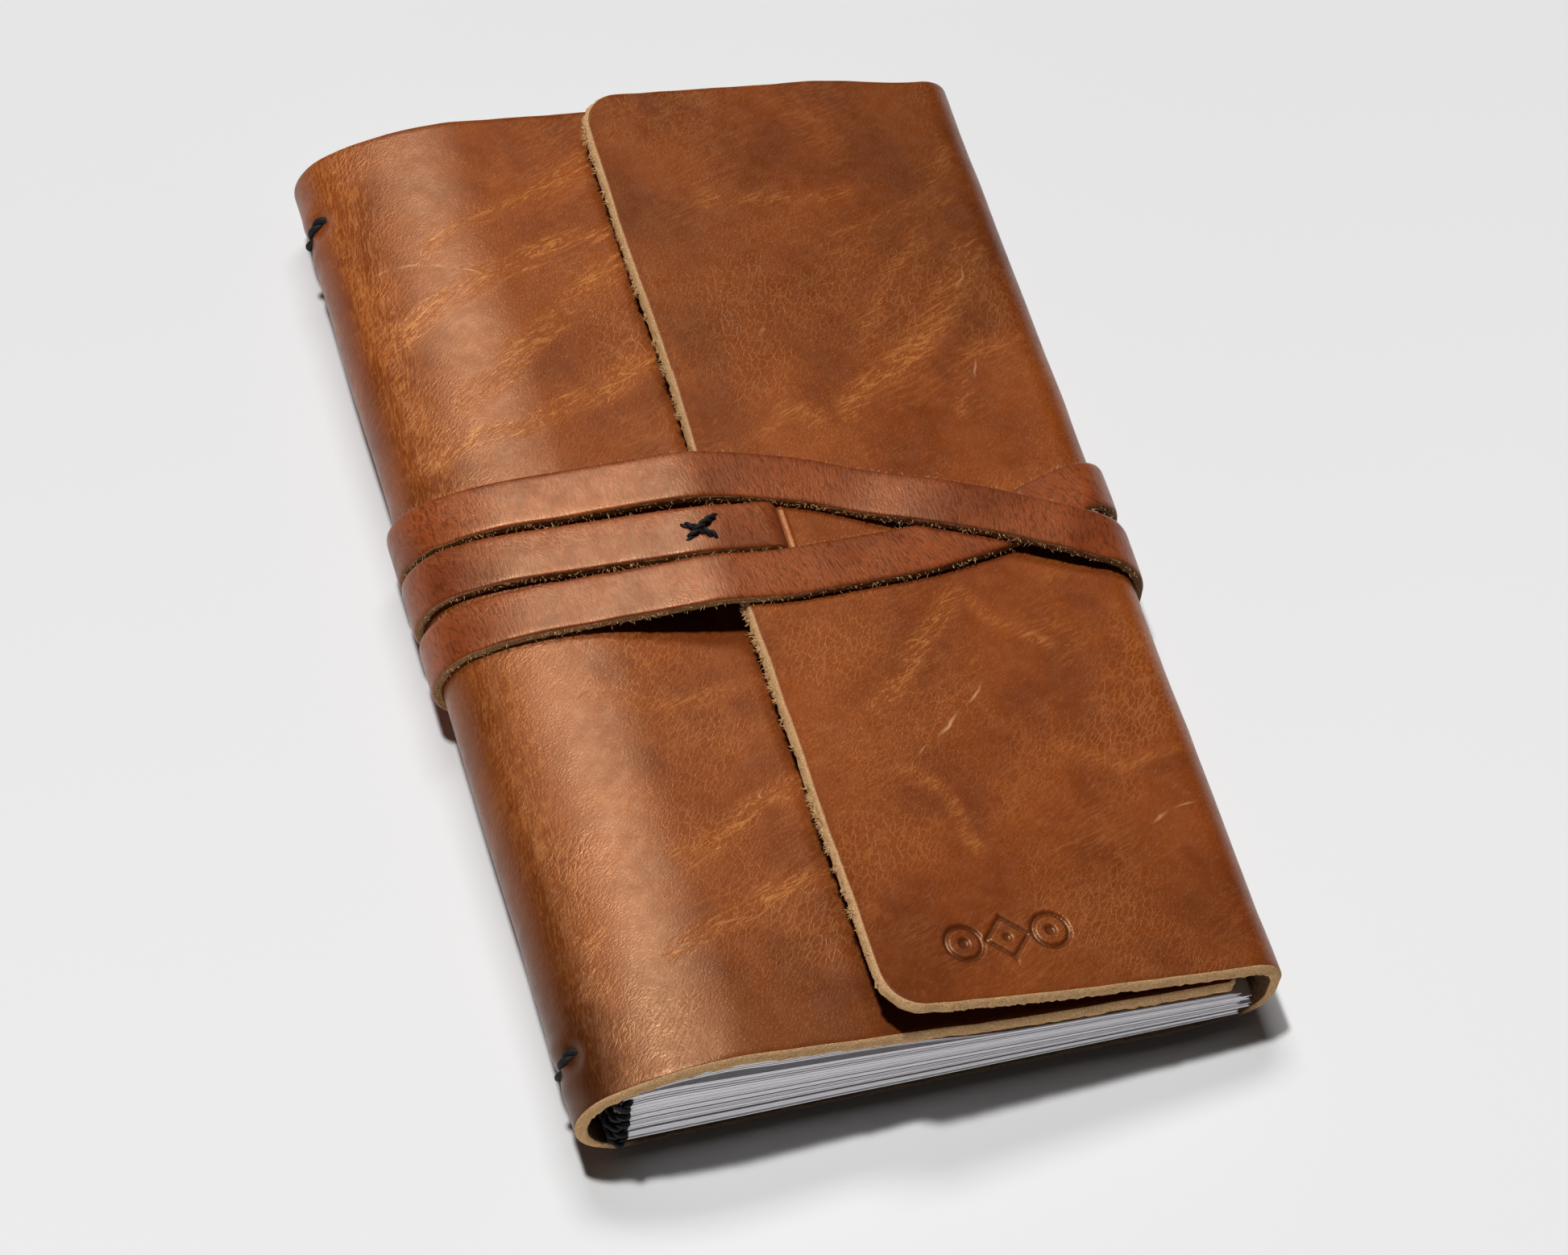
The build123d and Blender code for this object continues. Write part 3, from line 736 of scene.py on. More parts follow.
def tube_rings(centre, radius, sides=8):
    """Rings of points round a line, and their frame."""
    along = unit(np.gradient(centre, axis=0))
    side = np.cross(along[0], [0.31, 0.27, 0.91])       # no cord starts along this one
    carried = []
    for direction in along:
        side = side - direction * (side @ direction)
        side /= np.linalg.norm(side)
        carried.append(side)
    side = np.array(carried)
    other = np.cross(along, side)
    turn = np.linspace(0, 2 * pi, sides, endpoint=False)
    ring = centre[:, None] + radius[:, None, None] * (
        side[:, None] * np.cos(turn)[None, :, None] + other[:, None] * np.sin(turn)[None, :, None])
    return ring, side, other


def add_tube(points, faces, centre, radius, sides=8):
    ring, _, _ = tube_rings(centre, radius, sides)
    base = len(points)
    points.extend(ring.reshape(-1, 3))
    count = len(centre)
    for i in range(count - 1):
        for j in range(sides):
            a, b = base + i * sides + j, base + i * sides + (j + 1) % sides
            faces.append((a, b, b + sides, a + sides))
    faces.append(tuple(base + j for j in range(sides))[::-1])
    faces.append(tuple(base + (count - 1) * sides + j for j in range(sides)))


def twisted_cord(points, faces, stops, diameter, pitch, phase):
    """Two plies wound round each other along a smooth line."""
    centre, s = curve_through(stops)
    _, side, other = tube_rings(centre, np.ones(len(centre)))
    for start in (0.0, pi):
        turn = (2 * pi * s / pitch + start + phase)[:, None]
        ply = centre + 0.24 * diameter * (side * np.cos(turn) + other * np.sin(turn))
        fray = 0.31 * diameter * (1 + 0.06 * noise(s, 0 * s + start, 0.6, 31))
        add_tube(points, faces, ply, fray)


def cord_object(name, routes, material, diameter, pitch):
    """Twisted cords along the routes; pitch is the length of one turn of the plies."""
    points, faces = [], []
    for k, stops in enumerate(routes):
        twisted_cord(points, faces, stops, diameter, pitch, phase=1.3 * k)
    return new_object(name, points, faces, materials=[material])


def spine_stitch_route(y):
    """Out through the lower hole, over the outside and in through the upper hole."""
    deep = SPINE_RADIUS - LEATHER - 0.6
    skim = SPINE_RADIUS - 0.5
    middle = (STITCH_LOW + STITCH_HIGH) / 2
    stops = (
        (deep, STITCH_LOW + 1, -1), (skim - 1.1, STITCH_LOW, -1), (skim + 0.25, STITCH_LOW - 12, -0.8),
        (skim + 0.05, middle, 0), (skim + 0.3, STITCH_HIGH + 12, 0.8), (skim - 1.1, STITCH_HIGH, 1),
        (deep, STITCH_HIGH - 1, 1),
    )
    route = []
    for radius, angle, lean in stops:
        x, z = polar(SPINE_CENTRE, radius, angle)
        route.append((x, y + lean * STITCH_LEAN, z))
    return route


# Pages

def page_top(x):
    places, heights = zip(*PAGE_TOP)
    return np.interp(x, places, heights)


def signature_line(x, share):
    """Height of the pages at x, from 0 at the bottom to 1 at the top."""
    base = BACK_Z + LEATHER + 0.12
    return base + (page_top(x) - base) * share


def folded_sheet(points, faces, centre_x, centre_z, thick, foot, head):
    """A thin closed sheet round a cross-section line, run from foot to head."""
    centre = np.stack([centre_x, centre_z], -1)
    offset = line_normals(centre_x, centre_z) * (thick / 2)[:, None]
    loop = np.concatenate([centre + offset, (centre - offset)[::-1]])
    base, size = len(points), len(loop)
    rows = np.linspace(foot, head, 5)
    for y in rows:
        points.extend(np.insert(loop, 1, y, axis=1))
    for i in range(len(rows) - 1):
        for j in range(size):
            a, b = base + i * size + j, base + i * size + (j + 1) % size
            faces.append((a, b, b + size, a + size))
    half = size // 2
    for start, flip in ((base, False), (base + (len(rows) - 1) * size, True)):
        for j in range(half - 1):
            quad = (start + j, start + j + 1, start + size - 2 - j, start + size - 1 - j)
            faces.append(quad if flip else quad[::-1])


def fold_path(index, sheet, rng):
    """Cross-section of one folded sheet in a signature: right, left, round, right."""
    share = (sheet + 0.5) / (2 * SHEETS)
    right = PAGE_EDGES_X[index] - 0.22 * sheet + rng.uniform(-0.15, 0.15)
    right_top = right + rng.uniform(-0.3, 0.2)
    left = PAGE_FOLD_X + 1.5
    low_x = np.linspace(right, left, 46)
    high_x = np.linspace(left, right_top, 46)
    margin = 0.06
    low_share = (index + margin + (1 - 2 * margin) * share) / SIGNATURES
    high_share = (index + 1 - margin - (1 - 2 * margin) * share) / SIGNATURES
    ripple = 0.05 * noise(low_x, 0 * low_x + index * 5 + sheet, 17, 41)
    low_z = signature_line(low_x, low_share) + ripple
    high_z = signature_line(high_x, high_share) + ripple[::-1]
    mid_z = (low_z[-1] + high_z[0]) / 2
    half = (high_z[0] - low_z[-1]) / 2
    turn = np.linspace(pi / 2, 3 * pi / 2, 11)[1:-1]
    bulge = 1.5 - 0.3 * sheet
    fold_x = left + bulge * np.cos(turn)
    fold_z = mid_z - half * np.sin(turn)
    return np.concatenate([low_x, fold_x, high_x]), np.concatenate([low_z, fold_z, high_z])


def line_normals(x, z):
    along = unit(np.stack([np.gradient(x), np.gradient(z)], -1))
    return np.stack([along[:, 1], -along[:, 0]], -1)


def signature(index, material):
    rng = np.random.default_rng(60 + index)
    points, faces = [], []
    for sheet in range(SHEETS):
        x, z = fold_path(index, sheet, rng)
        each = (signature_line(x, 1.0) - signature_line(x, 0.0)) / SIGNATURES / (2 * SHEETS)
        foot = PAGE_FOOT + rng.uniform(0.0, 0.35)
        head = PAGE_HEAD - rng.uniform(0.0, 0.35)
        folded_sheet(points, faces, x, z, each * PAGE_FILL, foot, head)
    name = f"signature_{index + 1}_pages"
    return new_object(name, points, faces, materials=[material], smooth_faces=False)


def front_inner(x):
    """Height of the front panel's inner surface above x."""
    s = np.linspace(0, spine_s(124), 400)
    inner_x, inner_z = SHEET.place(s, LEATHER)
    return np.interp(x, inner_x[::-1], inner_z[::-1])


def lifted_leaves(material):
    """The top leaves, which cling to the front near the spine and part from the pages."""
    points, faces = [], []
    x = np.linspace(58.0, -57.4, 110)
    lens = np.interp(x, *zip(*LEAVES_THICK))
    lying = page_top(x) + 0.06 + lens
    clinging = np.maximum(front_inner(x) - 0.15, lying)
    top = clinging + (lying - clinging) * smooth(x, -14, 16)
    for k in range(LEAVES):
        z = top - lens * (k + 0.5) / LEAVES
        foot = PAGE_FOOT + 0.1 * ((k * 7) % 4)
        folded_sheet(points, faces, x - 0.12 * k, z, lens / LEAVES * LEAF_FILL, foot, PAGE_HEAD - 0.2)
    return new_object("lifted_leaves", points, faces, materials=[material], smooth_faces=False)


# Fibres on the raw edges

def add_fibre(points, faces, root, out, along, rng, width=0.08):
    """A short tapered fibre that curls away from an edge."""
    reach = rng.uniform(0.25, 0.95)
    lean = out + along / np.linalg.norm(along) * rng.normal(0, 0.9) + rng.normal(0, 0.25, 3)
    lean = lean / np.linalg.norm(lean)
    curl = rng.normal(0, 0.5, 3)
    t = np.array([[0.0], [0.4], [0.75], [1.0]])
    line = root + lean * t * reach + curl * t ** 2 * reach * 0.5
    add_tube(points, faces, line, width * np.array([1.0, 0.8, 0.5, 0.15]), sides=3)


def flap_edge_fibres(material):
    rng = np.random.default_rng(77)
    count = 4200
    y = rng.uniform(FOOT + 6, HEAD - 8, count)
    depth = rng.uniform(0.9, LEATHER - 0.1, count)
    u = np.full(count, S_END - 0.05)
    clumps = noise(y, 0 * y, 0.7, 78) + 0.4 * noise(y, 0 * y, 9, 79) > 0.1
    y, depth, u = y[clumps], depth[clumps], u[clumps]
    roots = sheet_place(u, y, depth)
    outs = unit(sheet_place(u + 0.5, y, depth) - roots)
    points, faces = [], []
    for root, out in zip(roots, outs):
        add_fibre(points, faces, root, out, np.array([0.0, 1.0, 0.0]), rng, width=0.12)
    return new_object("flap_edge_fibres", points, faces, materials=[material])


# Materials

class Shader:
    """A material being built, with a short call for each kind of node."""

    def __init__(self, name):
        self.material = bpy.data.materials.new(name)
        self.material.use_nodes = True
        self.nodes = self.material.node_tree.nodes
        self.links = self.material.node_tree.links
        self.surface = self.nodes["Principled BSDF"]

    def feed(self, socket, value):
        if isinstance(value, bpy.types.NodeSocket):
            self.links.new(value, socket)
        else:
            socket.default_value = value

    def add(self, kind, **values):
        node = self.nodes.new(kind)
        for key, value in values.items():
            self.feed(node.inputs[key.replace("_", " ")], value)
        return node

    def attribute(self, name, output="Vector"):
        node = self.nodes.new("ShaderNodeAttribute")
        node.attribute_name = name
        return node.outputs[output]

    def own_place(self):
        """Place on the object itself, in metres."""
        return self.nodes.new("ShaderNodeTexCoord").outputs["Object"]

    def turn(self, vector, angle, scale, offset=(0, 0, 0)):
        """The vector turned about Z, then scaled: its X runs along that angle."""
        turned = self.moved(vector, Rotation=(0, 0, -radians(angle)))
        return self.moved(turned, Scale=scale, Location=offset)

    def moved(self, vector, **values):
        return self.add("ShaderNodeMapping", Vector=vector, **values).outputs[0]

    def noise(self, vector, scale, detail=3.0, roughness=0.55):
        node = self.add(
            "ShaderNodeTexNoise", Vector=vector, Scale=scale, Detail=detail, Roughness=roughness)
        return node.outputs[0]

    def warp(self, vector, scale, amount):
        """The vector pushed about by noise."""
        node = self.add("ShaderNodeTexNoise", Vector=vector, Scale=scale, Detail=2.0)
        push = self.nodes.new("ShaderNodeVectorMath")
        push.operation = "MULTIPLY_ADD"
        self.feed(push.inputs[0], node.outputs["Color"])
        push.inputs[1].default_value = (amount, amount, 0)
        self.feed(push.inputs[2], vector)
        return push.outputs[0]

    def cells(self, vector):
        """Distance from the borders of cells about 1 across."""
        node = self.add("ShaderNodeTexVoronoi", Vector=vector, Scale=1.0)
        node.feature = "DISTANCE_TO_EDGE"
        return node.outputs["Distance"]

    def fit(self, value, low, high, to_low=0.0, to_high=1.0):
        node = self.add("ShaderNodeMapRange", Value=value, From_Min=low, From_Max=high,
                        To_Min=to_low, To_Max=to_high)
        node.interpolation_type = "SMOOTHSTEP"
        return node.outputs[0]

    def math(self, operation, a, b=0.0):
        node = self.nodes.new("ShaderNodeMath")
        node.operation = operation
        self.feed(node.inputs[0], a)
        self.feed(node.inputs[1], b)
        return node.outputs[0]

    def mix(self, share, a, b):
        """Colour a where share is 0 and b where it is 1."""
        node = self.nodes.new("ShaderNodeMix")
        node.data_type = "RGBA"
        self.feed(node.inputs[0], share)
        for socket, value in ((node.inputs[6], a), (node.inputs[7], b)):
            self.feed(socket, (*value, 1.0) if isinstance(value, tuple) else value)
        return node.outputs[2]

    def stain(self, colour, mask, share, other):
        """The colour, with that share of the other where the mask is 1."""
        return self.mix(self.math("MULTIPLY", mask, share), colour, other)

    def layered(self, *layers):
        """Sum of heights, each times its weight."""
        height = self.math("MULTIPLY", *layers[0])
        for layer, weight in layers[1:]:
            height = self.math("ADD", height, self.math("MULTIPLY", layer, weight))
        return height

    def coat(self, colour, roughness, specular=0.5, height=None, depth=1.0):
        """Finishes the material; a height of 1 stands depth millimetres proud."""
        self.feed(self.surface.inputs["Base Color"], colour)
        self.feed(self.surface.inputs["Roughness"], roughness)
        self.feed(self.surface.inputs["Specular IOR Level"], specular)
        if height is not None:
            node = self.add("ShaderNodeBump", Height=height, Distance=depth * MM, Strength=1.0)
            self.feed(self.surface.inputs["Normal"], node.outputs[0])
        return self.material


def shade(colour, share):
    return tuple(share * c for c in colour)


def stroke(sh, flat, start, end, width):
    """1 on a thin line between two places of the sheet (centimetres), 0 off it."""
    length = hypot(end[0] - start[0], end[1] - start[1])
    angle = degrees(atan2(end[1] - start[1], end[0] - start[0]))
    moved = sh.moved(flat, Location=(-start[0], -start[1], 0))
    split = sh.add("ShaderNodeSeparateXYZ", Vector=sh.moved(moved, Rotation=(0, 0, -radians(angle))))
    off = sh.math("ABSOLUTE", split.outputs[1])
    beyond = sh.math("ABSOLUTE", sh.math("SUBTRACT", split.outputs[0], length / 2))
    along = sh.fit(beyond, length / 2, length / 2 - 0.5)
    return sh.math("MULTIPLY", sh.fit(off, width, width * 0.2), along)


def hide_colour(sh, flat, bent, streak, dark, middle, light, tan):
    """Mottled, clouded and streaked ground colour."""
    mottle = sh.fit(sh.noise(bent, 0.6, 5, 0.62), 0.34, 0.66)
    cloud = sh.fit(sh.noise(flat, 0.24, 3, 0.5), 0.46, 0.72)
    colour = sh.stain(sh.mix(mottle, dark, middle), cloud, 0.6, light)
    colour = sh.mix(sh.fit(streak, 0.5, 0.8, 0.0, 0.35), colour, tan)
    return sh.mix(sh.fit(streak, 0.48, 0.25, 0.0, 0.6), colour, dark)


def scratched(sh, flat, colour, scratches):
    """Pale strokes where the wax is scratched off."""
    for place, marks in scratches:
        for start, end, width in marks:
            start, end = (place(start[0]) / 10, start[1] / 10), (place(end[0]) / 10, end[1] / 10)
            colour = sh.stain(colour, stroke(sh, flat, start, end, width / 10), 0.7, (0.62, 0.34, 0.15))
    return colour


def grain_leather(name, dark, middle, light, tan, cross_grain=False, scratches=()):
    """Waxed pull-up leather: mottled, with paler creases, pores and a pebbled grain."""
    sh = Shader(name)
    flat = sh.attribute("flat")
    bent = sh.warp(flat, 1.2, 0.35)
    streak = sh.noise(sh.turn(bent, 140, (6.0, 16.0, 1.0)), 1.0, 5, 0.7)
    colour = hide_colour(sh, flat, bent, streak, dark, middle, light, tan)
    crease = sh.attribute("crease", "Fac")
    braid = braided_lines(sh, flat)
    lines = sh.math("MULTIPLY", braid, sh.fit(crease, 0.1, 0.9))
    everywhere = sh.math("MULTIPLY", braid, sh.fit(sh.noise(flat, 0.45, 2), 0.45, 0.62))
    wrinkles = fine_wrinkles(sh, flat)
    colour = sh.stain(colour, crease, 0.50, light)
    for mask, share in ((lines, 0.85), (everywhere, 0.22), (wrinkles, 0.30)):
        colour = sh.stain(colour, mask, share, tan)
    if not cross_grain:
        colour = sh.stain(colour, spine_crackle(sh, flat), 0.6, tan)
    colour = dark_pores(sh, flat, colour, dark)
    pebbles, valley_shade = pebble_grain(sh, flat, cross_grain)
    # Painted shade darkens the grain's hollows.
    colour = scratched(sh, bent, sh.mix(valley_shade, colour, shade(dark, 0.45)), scratches)
    colour = sh.stain(colour, sh.attribute("rim", "Fac"), 0.3, shade(dark, 0.7))
    # Painted shade towards the foot and down the lower spine, and a darker colour at the head of the
    # fold and flap.
    colour = sh.mix(sh.attribute("shade_and_tone", "Fac"), colour, shade(dark, 0.12))
    colour = sh.stain(colour, sh.attribute("press", "Fac"), 0.75, shade(dark, 0.3))
    rough = sh.fit(sh.noise(bent, 3.0, 4), 0.3, 0.7, 0.29, 0.40)
    sh.surface.inputs["Specular Tint"].default_value = (1.0, 0.60, 0.34, 1.0)
    grit = sh.noise(flat, 30, 4, 0.7)
    height = sh.layered(
        (pebbles, 0.014), (lines, -0.05), (wrinkles, -0.022), (grit, 0.016), (streak, 0.02))
    return sh.coat(colour, rough, 0.62, height)


def ridges(sh, vector, width):
    """Thin wandering lines where a noise passes through its middle."""
    off = sh.math("SUBTRACT", sh.noise(vector, 1.0, 2, 0.5), 0.5)
    return sh.fit(sh.math("ABSOLUTE", off), width, 0.0)


def braided_lines(sh, flat):
    """Thin lines that part and meet again along the creases."""
    soft = sh.warp(sh.warp(flat, 0.7, 0.3), 3.5, 0.05)
    wide = ridges(sh, sh.turn(soft, 158, (0.6, 5.5, 1.0)), 0.036)
    fine = ridges(sh, sh.turn(soft, 146, (1.6, 10.0, 1.0), (7, 2, 0)), 0.045)
    return sh.math("MAXIMUM", wide, sh.math("MULTIPLY", fine, 0.7))


def fine_wrinkles(sh, flat):
    """Short pale lines in patches."""
    cells = sh.cells(sh.turn(sh.warp(flat, 4, 0.08), 135, (4.0, 11.0, 1.0), (3, 5, 0)))
    patch = sh.fit(sh.noise(flat, 0.3, 3, 0.6), 0.42, 0.68)
    return sh.math("MULTIPLY", sh.fit(cells, 0.12, 0.01), patch)


def spine_crackle(sh, flat):
    """Fine pale lines along the bend beside the spine."""
    along = sh.add("ShaderNodeSeparateXYZ", Vector=flat).outputs[0]
    across = sh.math("SUBTRACT", along, front_s(-60.5) / 10)
    band = sh.fit(sh.math("ABSOLUTE", across), 0.75, 0.2)
    lines = ridges(sh, sh.turn(sh.warp(flat, 3.0, 0.08), 98, (1.5, 12.0, 1.0), (3, 9, 0)), 0.06)
    return sh.math("MULTIPLY", band, lines)


def dark_pores(sh, flat, colour, dark):
    """The colour with pores as dark dots, in patches."""
    pores = sh.fit(sh.noise(sh.turn(flat, 110, (22, 40, 1)), 1.0, 1), 0.60, 0.72)
    pores = sh.math("MULTIPLY", pores, sh.fit(sh.noise(flat, 0.6, 3), 0.48, 0.64))
    return sh.stain(colour, pores, 0.65, shade(dark, 0.3))


def pebble_grain(sh, flat, cross_grain):
    """Height of the pebbles, and the painted shade in the hollows between them. On the straps they are
    drawn out across the strap."""
    if cross_grain:
        space = sh.turn(sh.warp(flat, 5, 0.06), 100, (5.0, 22.0, 1.0))
        streaks = sh.noise(space, 1.0, 3, 0.6)
        height = sh.fit(streaks, 0.38, 0.6)
        # Painted shade in the low streaks.
        return height, sh.math("MULTIPLY", sh.fit(streaks, 0.54, 0.33), 0.6)
    cells = sh.cells(sh.turn(sh.warp(flat, 6, 0.05), 150, (10.0, 15.0, 1.0)))
    height = sh.fit(cells, 0.0, 0.32)
    zone = sh.fit(sh.noise(flat, 0.25, 2), 0.35, 0.62, 0.35, 1.0)
    # Painted shade between the pebbles.
    valley_shade = sh.math("MULTIPLY", sh.math("SUBTRACT", 1.0, height), zone)
    return sh.math("MULTIPLY", height, zone), sh.math("MULTIPLY", valley_shade, 0.32)


def raw_edge(name, pale, deep):
    """Cut edge: a fibrous, open section of the hide, with painted shade that darkens the back piece's
    edges as if in shadow by the floor.
    """
    sh = Shader(name)
    flat = sh.attribute("flat")
    fibre = sh.noise(sh.warp(flat, 9, 0.08), 34, 5, 0.7)
    layers = sh.noise(sh.moved(flat, Scale=(6, 6, 60)), 1.0, 3)
    colour = sh.mix(sh.fit(fibre, 0.32, 0.66), deep, pale)
    colour = sh.mix(sh.fit(layers, 0.55, 0.3, 0.0, 0.4), colour, deep)
    # Painted shade: the back piece's cut edges go nearly black, as if in shadow by the floor.
    colour = sh.stain(colour, sh.attribute("back_edge_shade", "Fac"), 0.94, (0.012, 0.008, 0.006))
    return sh.coat(colour, 0.92, 0.2, sh.math("ADD", fibre, sh.noise(flat, 90, 3)), 0.22)


def suede(name, pale, deep):
    """Flesh side of the leather."""
    sh = Shader(name)
    nap = sh.noise(sh.warp(sh.attribute("flat"), 3, 0.2), 16, 5, 0.7)
    return sh.coat(sh.mix(sh.fit(nap, 0.3, 0.7), deep, pale), 0.95, 0.15, nap, 0.2)


def paper_material():
    sh = Shader("uncoated_paper")
    tooth = sh.noise(sh.own_place(), 2500, 4, 0.6)
    return sh.coat(sh.mix(tooth, (0.76, 0.74, 0.77), (0.82, 0.80, 0.82)), 0.9, 0.2, tooth, 0.03)


def thread_material():
    """Black waxed thread."""
    sh = Shader("waxed_thread")
    strands = sh.noise(sh.own_place(), 3800, 3, 0.6)
    colour = sh.mix(sh.fit(strands, 0.35, 0.7), (0.002, 0.002, 0.002), (0.010, 0.009, 0.009))
    return sh.coat(colour, 0.6, 0.25, strands, 0.12)


def fibre_material():
    sh = Shader("leather_fibre")
    return sh.coat(sh.mix(sh.noise(sh.own_place(), 900, 2), (0.50, 0.28, 0.11), (0.80, 0.52, 0.25)), 0.9)


COVER_GRAIN = grain_leather(
    "cover_leather_grain", dark=(0.168, 0.033, 0.006), middle=(0.250, 0.052, 0.008),
    light=(0.345, 0.080, 0.013), tan=(0.52, 0.180, 0.044),
    scratches=((flap_s, FLAP_SCRATCHES), (front_s, FRONT_SCRATCHES)))
STRAP_GRAIN = grain_leather(
    "strap_leather_grain", dark=(0.150, 0.029, 0.008), middle=(0.255, 0.052, 0.013),
    light=(0.310, 0.069, 0.017), tan=(0.42, 0.130, 0.040), cross_grain=True)
COVER_EDGE = raw_edge("cover_cut_edge", pale=(0.86, 0.55, 0.27), deep=(0.50, 0.26, 0.11))
STRAP_EDGE = raw_edge("strap_cut_edge", pale=(0.50, 0.29, 0.13), deep=(0.20, 0.10, 0.038))
FLESH = suede("leather_flesh_side", pale=(0.20, 0.105, 0.050), deep=(0.09, 0.042, 0.018))
PAPER = paper_material()
THREAD = thread_material()
FIBRE = fibre_material()
COVER = [COVER_GRAIN, COVER_EDGE, FLESH]
STRAPS = [STRAP_GRAIN, STRAP_EDGE, FLESH, FIBRE]


# Putting it together: each piece, the body it rides on if it rides on one, and the CAD nodes it replaces

SPINE_BEND = ((-64.2, 0, 18.9), (-63.0, 0, 25.2), "block", "front_cover")
FOLD_BEND = ((63.4, 0, 2.4), (67.3, 0, 6.3), "block", "fore_edge")
FLAP_BEND = ((68.4, 0, 15.1), (63.3, 0, 19.6), "fore_edge", "flap")


def bend_with(bend, obj, kind, *nodes):
    """A piece baked where it stands, with the CAD nodes it replaces hidden."""
    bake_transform(obj)
    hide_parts(*nodes)


def ride(body, obj, kind, *nodes):
    """A piece that moves with one body."""
    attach(obj, body)
    if nodes:
        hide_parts(*nodes)


def build_cover():
    front = sheet_piece("cover_front_and_spine", 0.0, S_SEAM, (FRONT_CORNER, None), COVER)
    bend_with(SPINE_BEND, front, "cover_leather", "front_panel", "spine_panel")
    back = sheet_piece("cover_back", S_SEAM, S_WALL, (None, None), COVER)
    bend_with(FOLD_BEND, back, "cover_leather", "back_panel")
    middle = flap_s(ORNAMENT_X)
    flap = sheet_piece("cover_flap", S_WALL, S_END, (None, FLAP_CORNER), COVER,
                       fine_u=(middle - ORNAMENT_REACH, middle + ORNAMENT_REACH, 0.3),
                       fine_y=(ORNAMENT_Y - 6, ORNAMENT_Y + 6))
    bend_with(FLAP_BEND, flap, "cover_leather", "fore_edge_panel", "flap_panel")
    ride("flap", flap_edge_fibres(FIBRE), "cover_leather")


def flat_lift(s):
    return 0 * s


def build_straps():
    """The runs over the front: two wound ones and the sewn end."""
    line = front_run_line()
    left = np.argmin(line.x)
    cross_s = np.interp(-CROSSING_X, -line.x[:left], line.s[:left])

    def over_lift(s):
        rise = smooth(s, cross_s - 25, cross_s - 9) - smooth(s, cross_s + 12, cross_s + 34)
        return (STRAP + 0.1) * rise

    def tail_lift(s):
        return -2.2 * (1 - smooth(s, 3, 11))

    under_y = route(line, UNDER_ROUTE, UNDER_FOLD_Y, UNDER_TAIL_Y)
    over_y = route(line, OVER_ROUTE, OVER_FOLD_Y, OVER_TAIL_Y)
    under = strap_piece("strap_front_under", line, under_y, flat_lift, 101, STRAPS)
    over = strap_piece("strap_front_over", line, over_y, over_lift, 111, STRAPS)
    bend_with(FLAP_BEND, under, "strap_leather", "strap_under_run", "strap_fold_bends")
    bend_with(FLAP_BEND, over, "strap_leather", "strap_over_run", "strap_fold_bends")
    line = anchor_run_line()
    anchor_y = route(line, ANCHOR_ROUTE, ANCHOR_SLIT_Y, ANCHOR_TAIL_Y, skip=ANCHOR_TAIL + 5)
    anchor = strap_piece("strap_anchor", line, anchor_y, tail_lift, 121, STRAPS)
    ride("flap", anchor, "strap_leather", "strap_anchor_run")


def build_back_runs():
    """Runs under the back, two of them on round the lower half of the fold."""
    flat = RIGHT - FOLD_RADIUS - BEND_TAIL_X
    moves = [("go", flat), ("left", FOLD_RADIUS, 90), ("go", FOLD_WALL / 2)]
    line = walk((BEND_TAIL_X, BACK_Z), 0, moves)
    runs = (("upper", ANCHOR_TAIL_Y, UNDER_FOLD_Y, 131), ("lower", UNDER_TAIL_Y, OVER_FOLD_Y, 141))
    for name, first_y, last_y, seed in runs:
        y = np.interp(line.s, [0, 10, flat - 8, line.length], [first_y, first_y, last_y, last_y])
        run = strap_piece(f"strap_back_{name}", line, eased(y, 60), flat_lift, seed, STRAPS)
        bend_with(FOLD_BEND, run, "strap_leather", "strap_back_runs", "strap_fold_bends")
    y = np.interp(line.s, [0, line.length], [OVER_TAIL_Y, BACK_TAIL_Y])
    length = BACK_TAIL_X - BEND_TAIL_X
    tail = strap_piece("strap_back_tail", line, y, flat_lift, 151, STRAPS, length)
    ride("block", tail, "strap_leather", "strap_back_runs")


def build_cross():
    """The cross sewn through the strap's doubled end; its second arm humps over the first."""
    routes = []
    for (x0, y0), (x1, y1), hump in CROSS_ARMS:
        stops = []
        for t, rise in CROSS_RISE:
            x = x0 + (x1 - x0) * t
            y = y0 + (y1 - y0) * t
            stops.append((x, y, strap_top(x) + rise + hump * (t == 0.5)))
        routes.append(stops)
    cross = cord_object("cross_stitch_cords", routes, THREAD, CROSS_CORD, 3.4)
    ride("flap", cross, "waxed_cord", "cross_stitch")


def strap_top(x):
    """Height of the anchor run's upper surface above x."""
    line = anchor_run_line()
    x_line, z_line = line.place(line.s, -(STRAP_GAP + STRAP))
    upper = (line.s > ANCHOR_TAIL + 6) & (line.s < line.s[np.argmin(line.x)])
    return float(np.interp(-x, -x_line[upper], z_line[upper]))


def build_spine_stitches():
    for name, y in (("head", STITCH_HEAD_Y), ("foot", STITCH_FOOT_Y)):
        name = f"spine_stitch_{name}"
        cord = cord_object(f"{name}_cord", [spine_stitch_route(y)], THREAD, SPINE_CORD, 6.0)
        ride("block", cord, "waxed_cord", name)


def build_pages():
    for index in range(SIGNATURES):
        ride("block", signature(index, PAPER), "paper", f"signature_{index + 1}")
        ride("block", signature_cord(index), "waxed_cord", f"signature_cord_{index + 1}")
    ride("leaf", lifted_leaves(PAPER), "paper", "first_leaf")


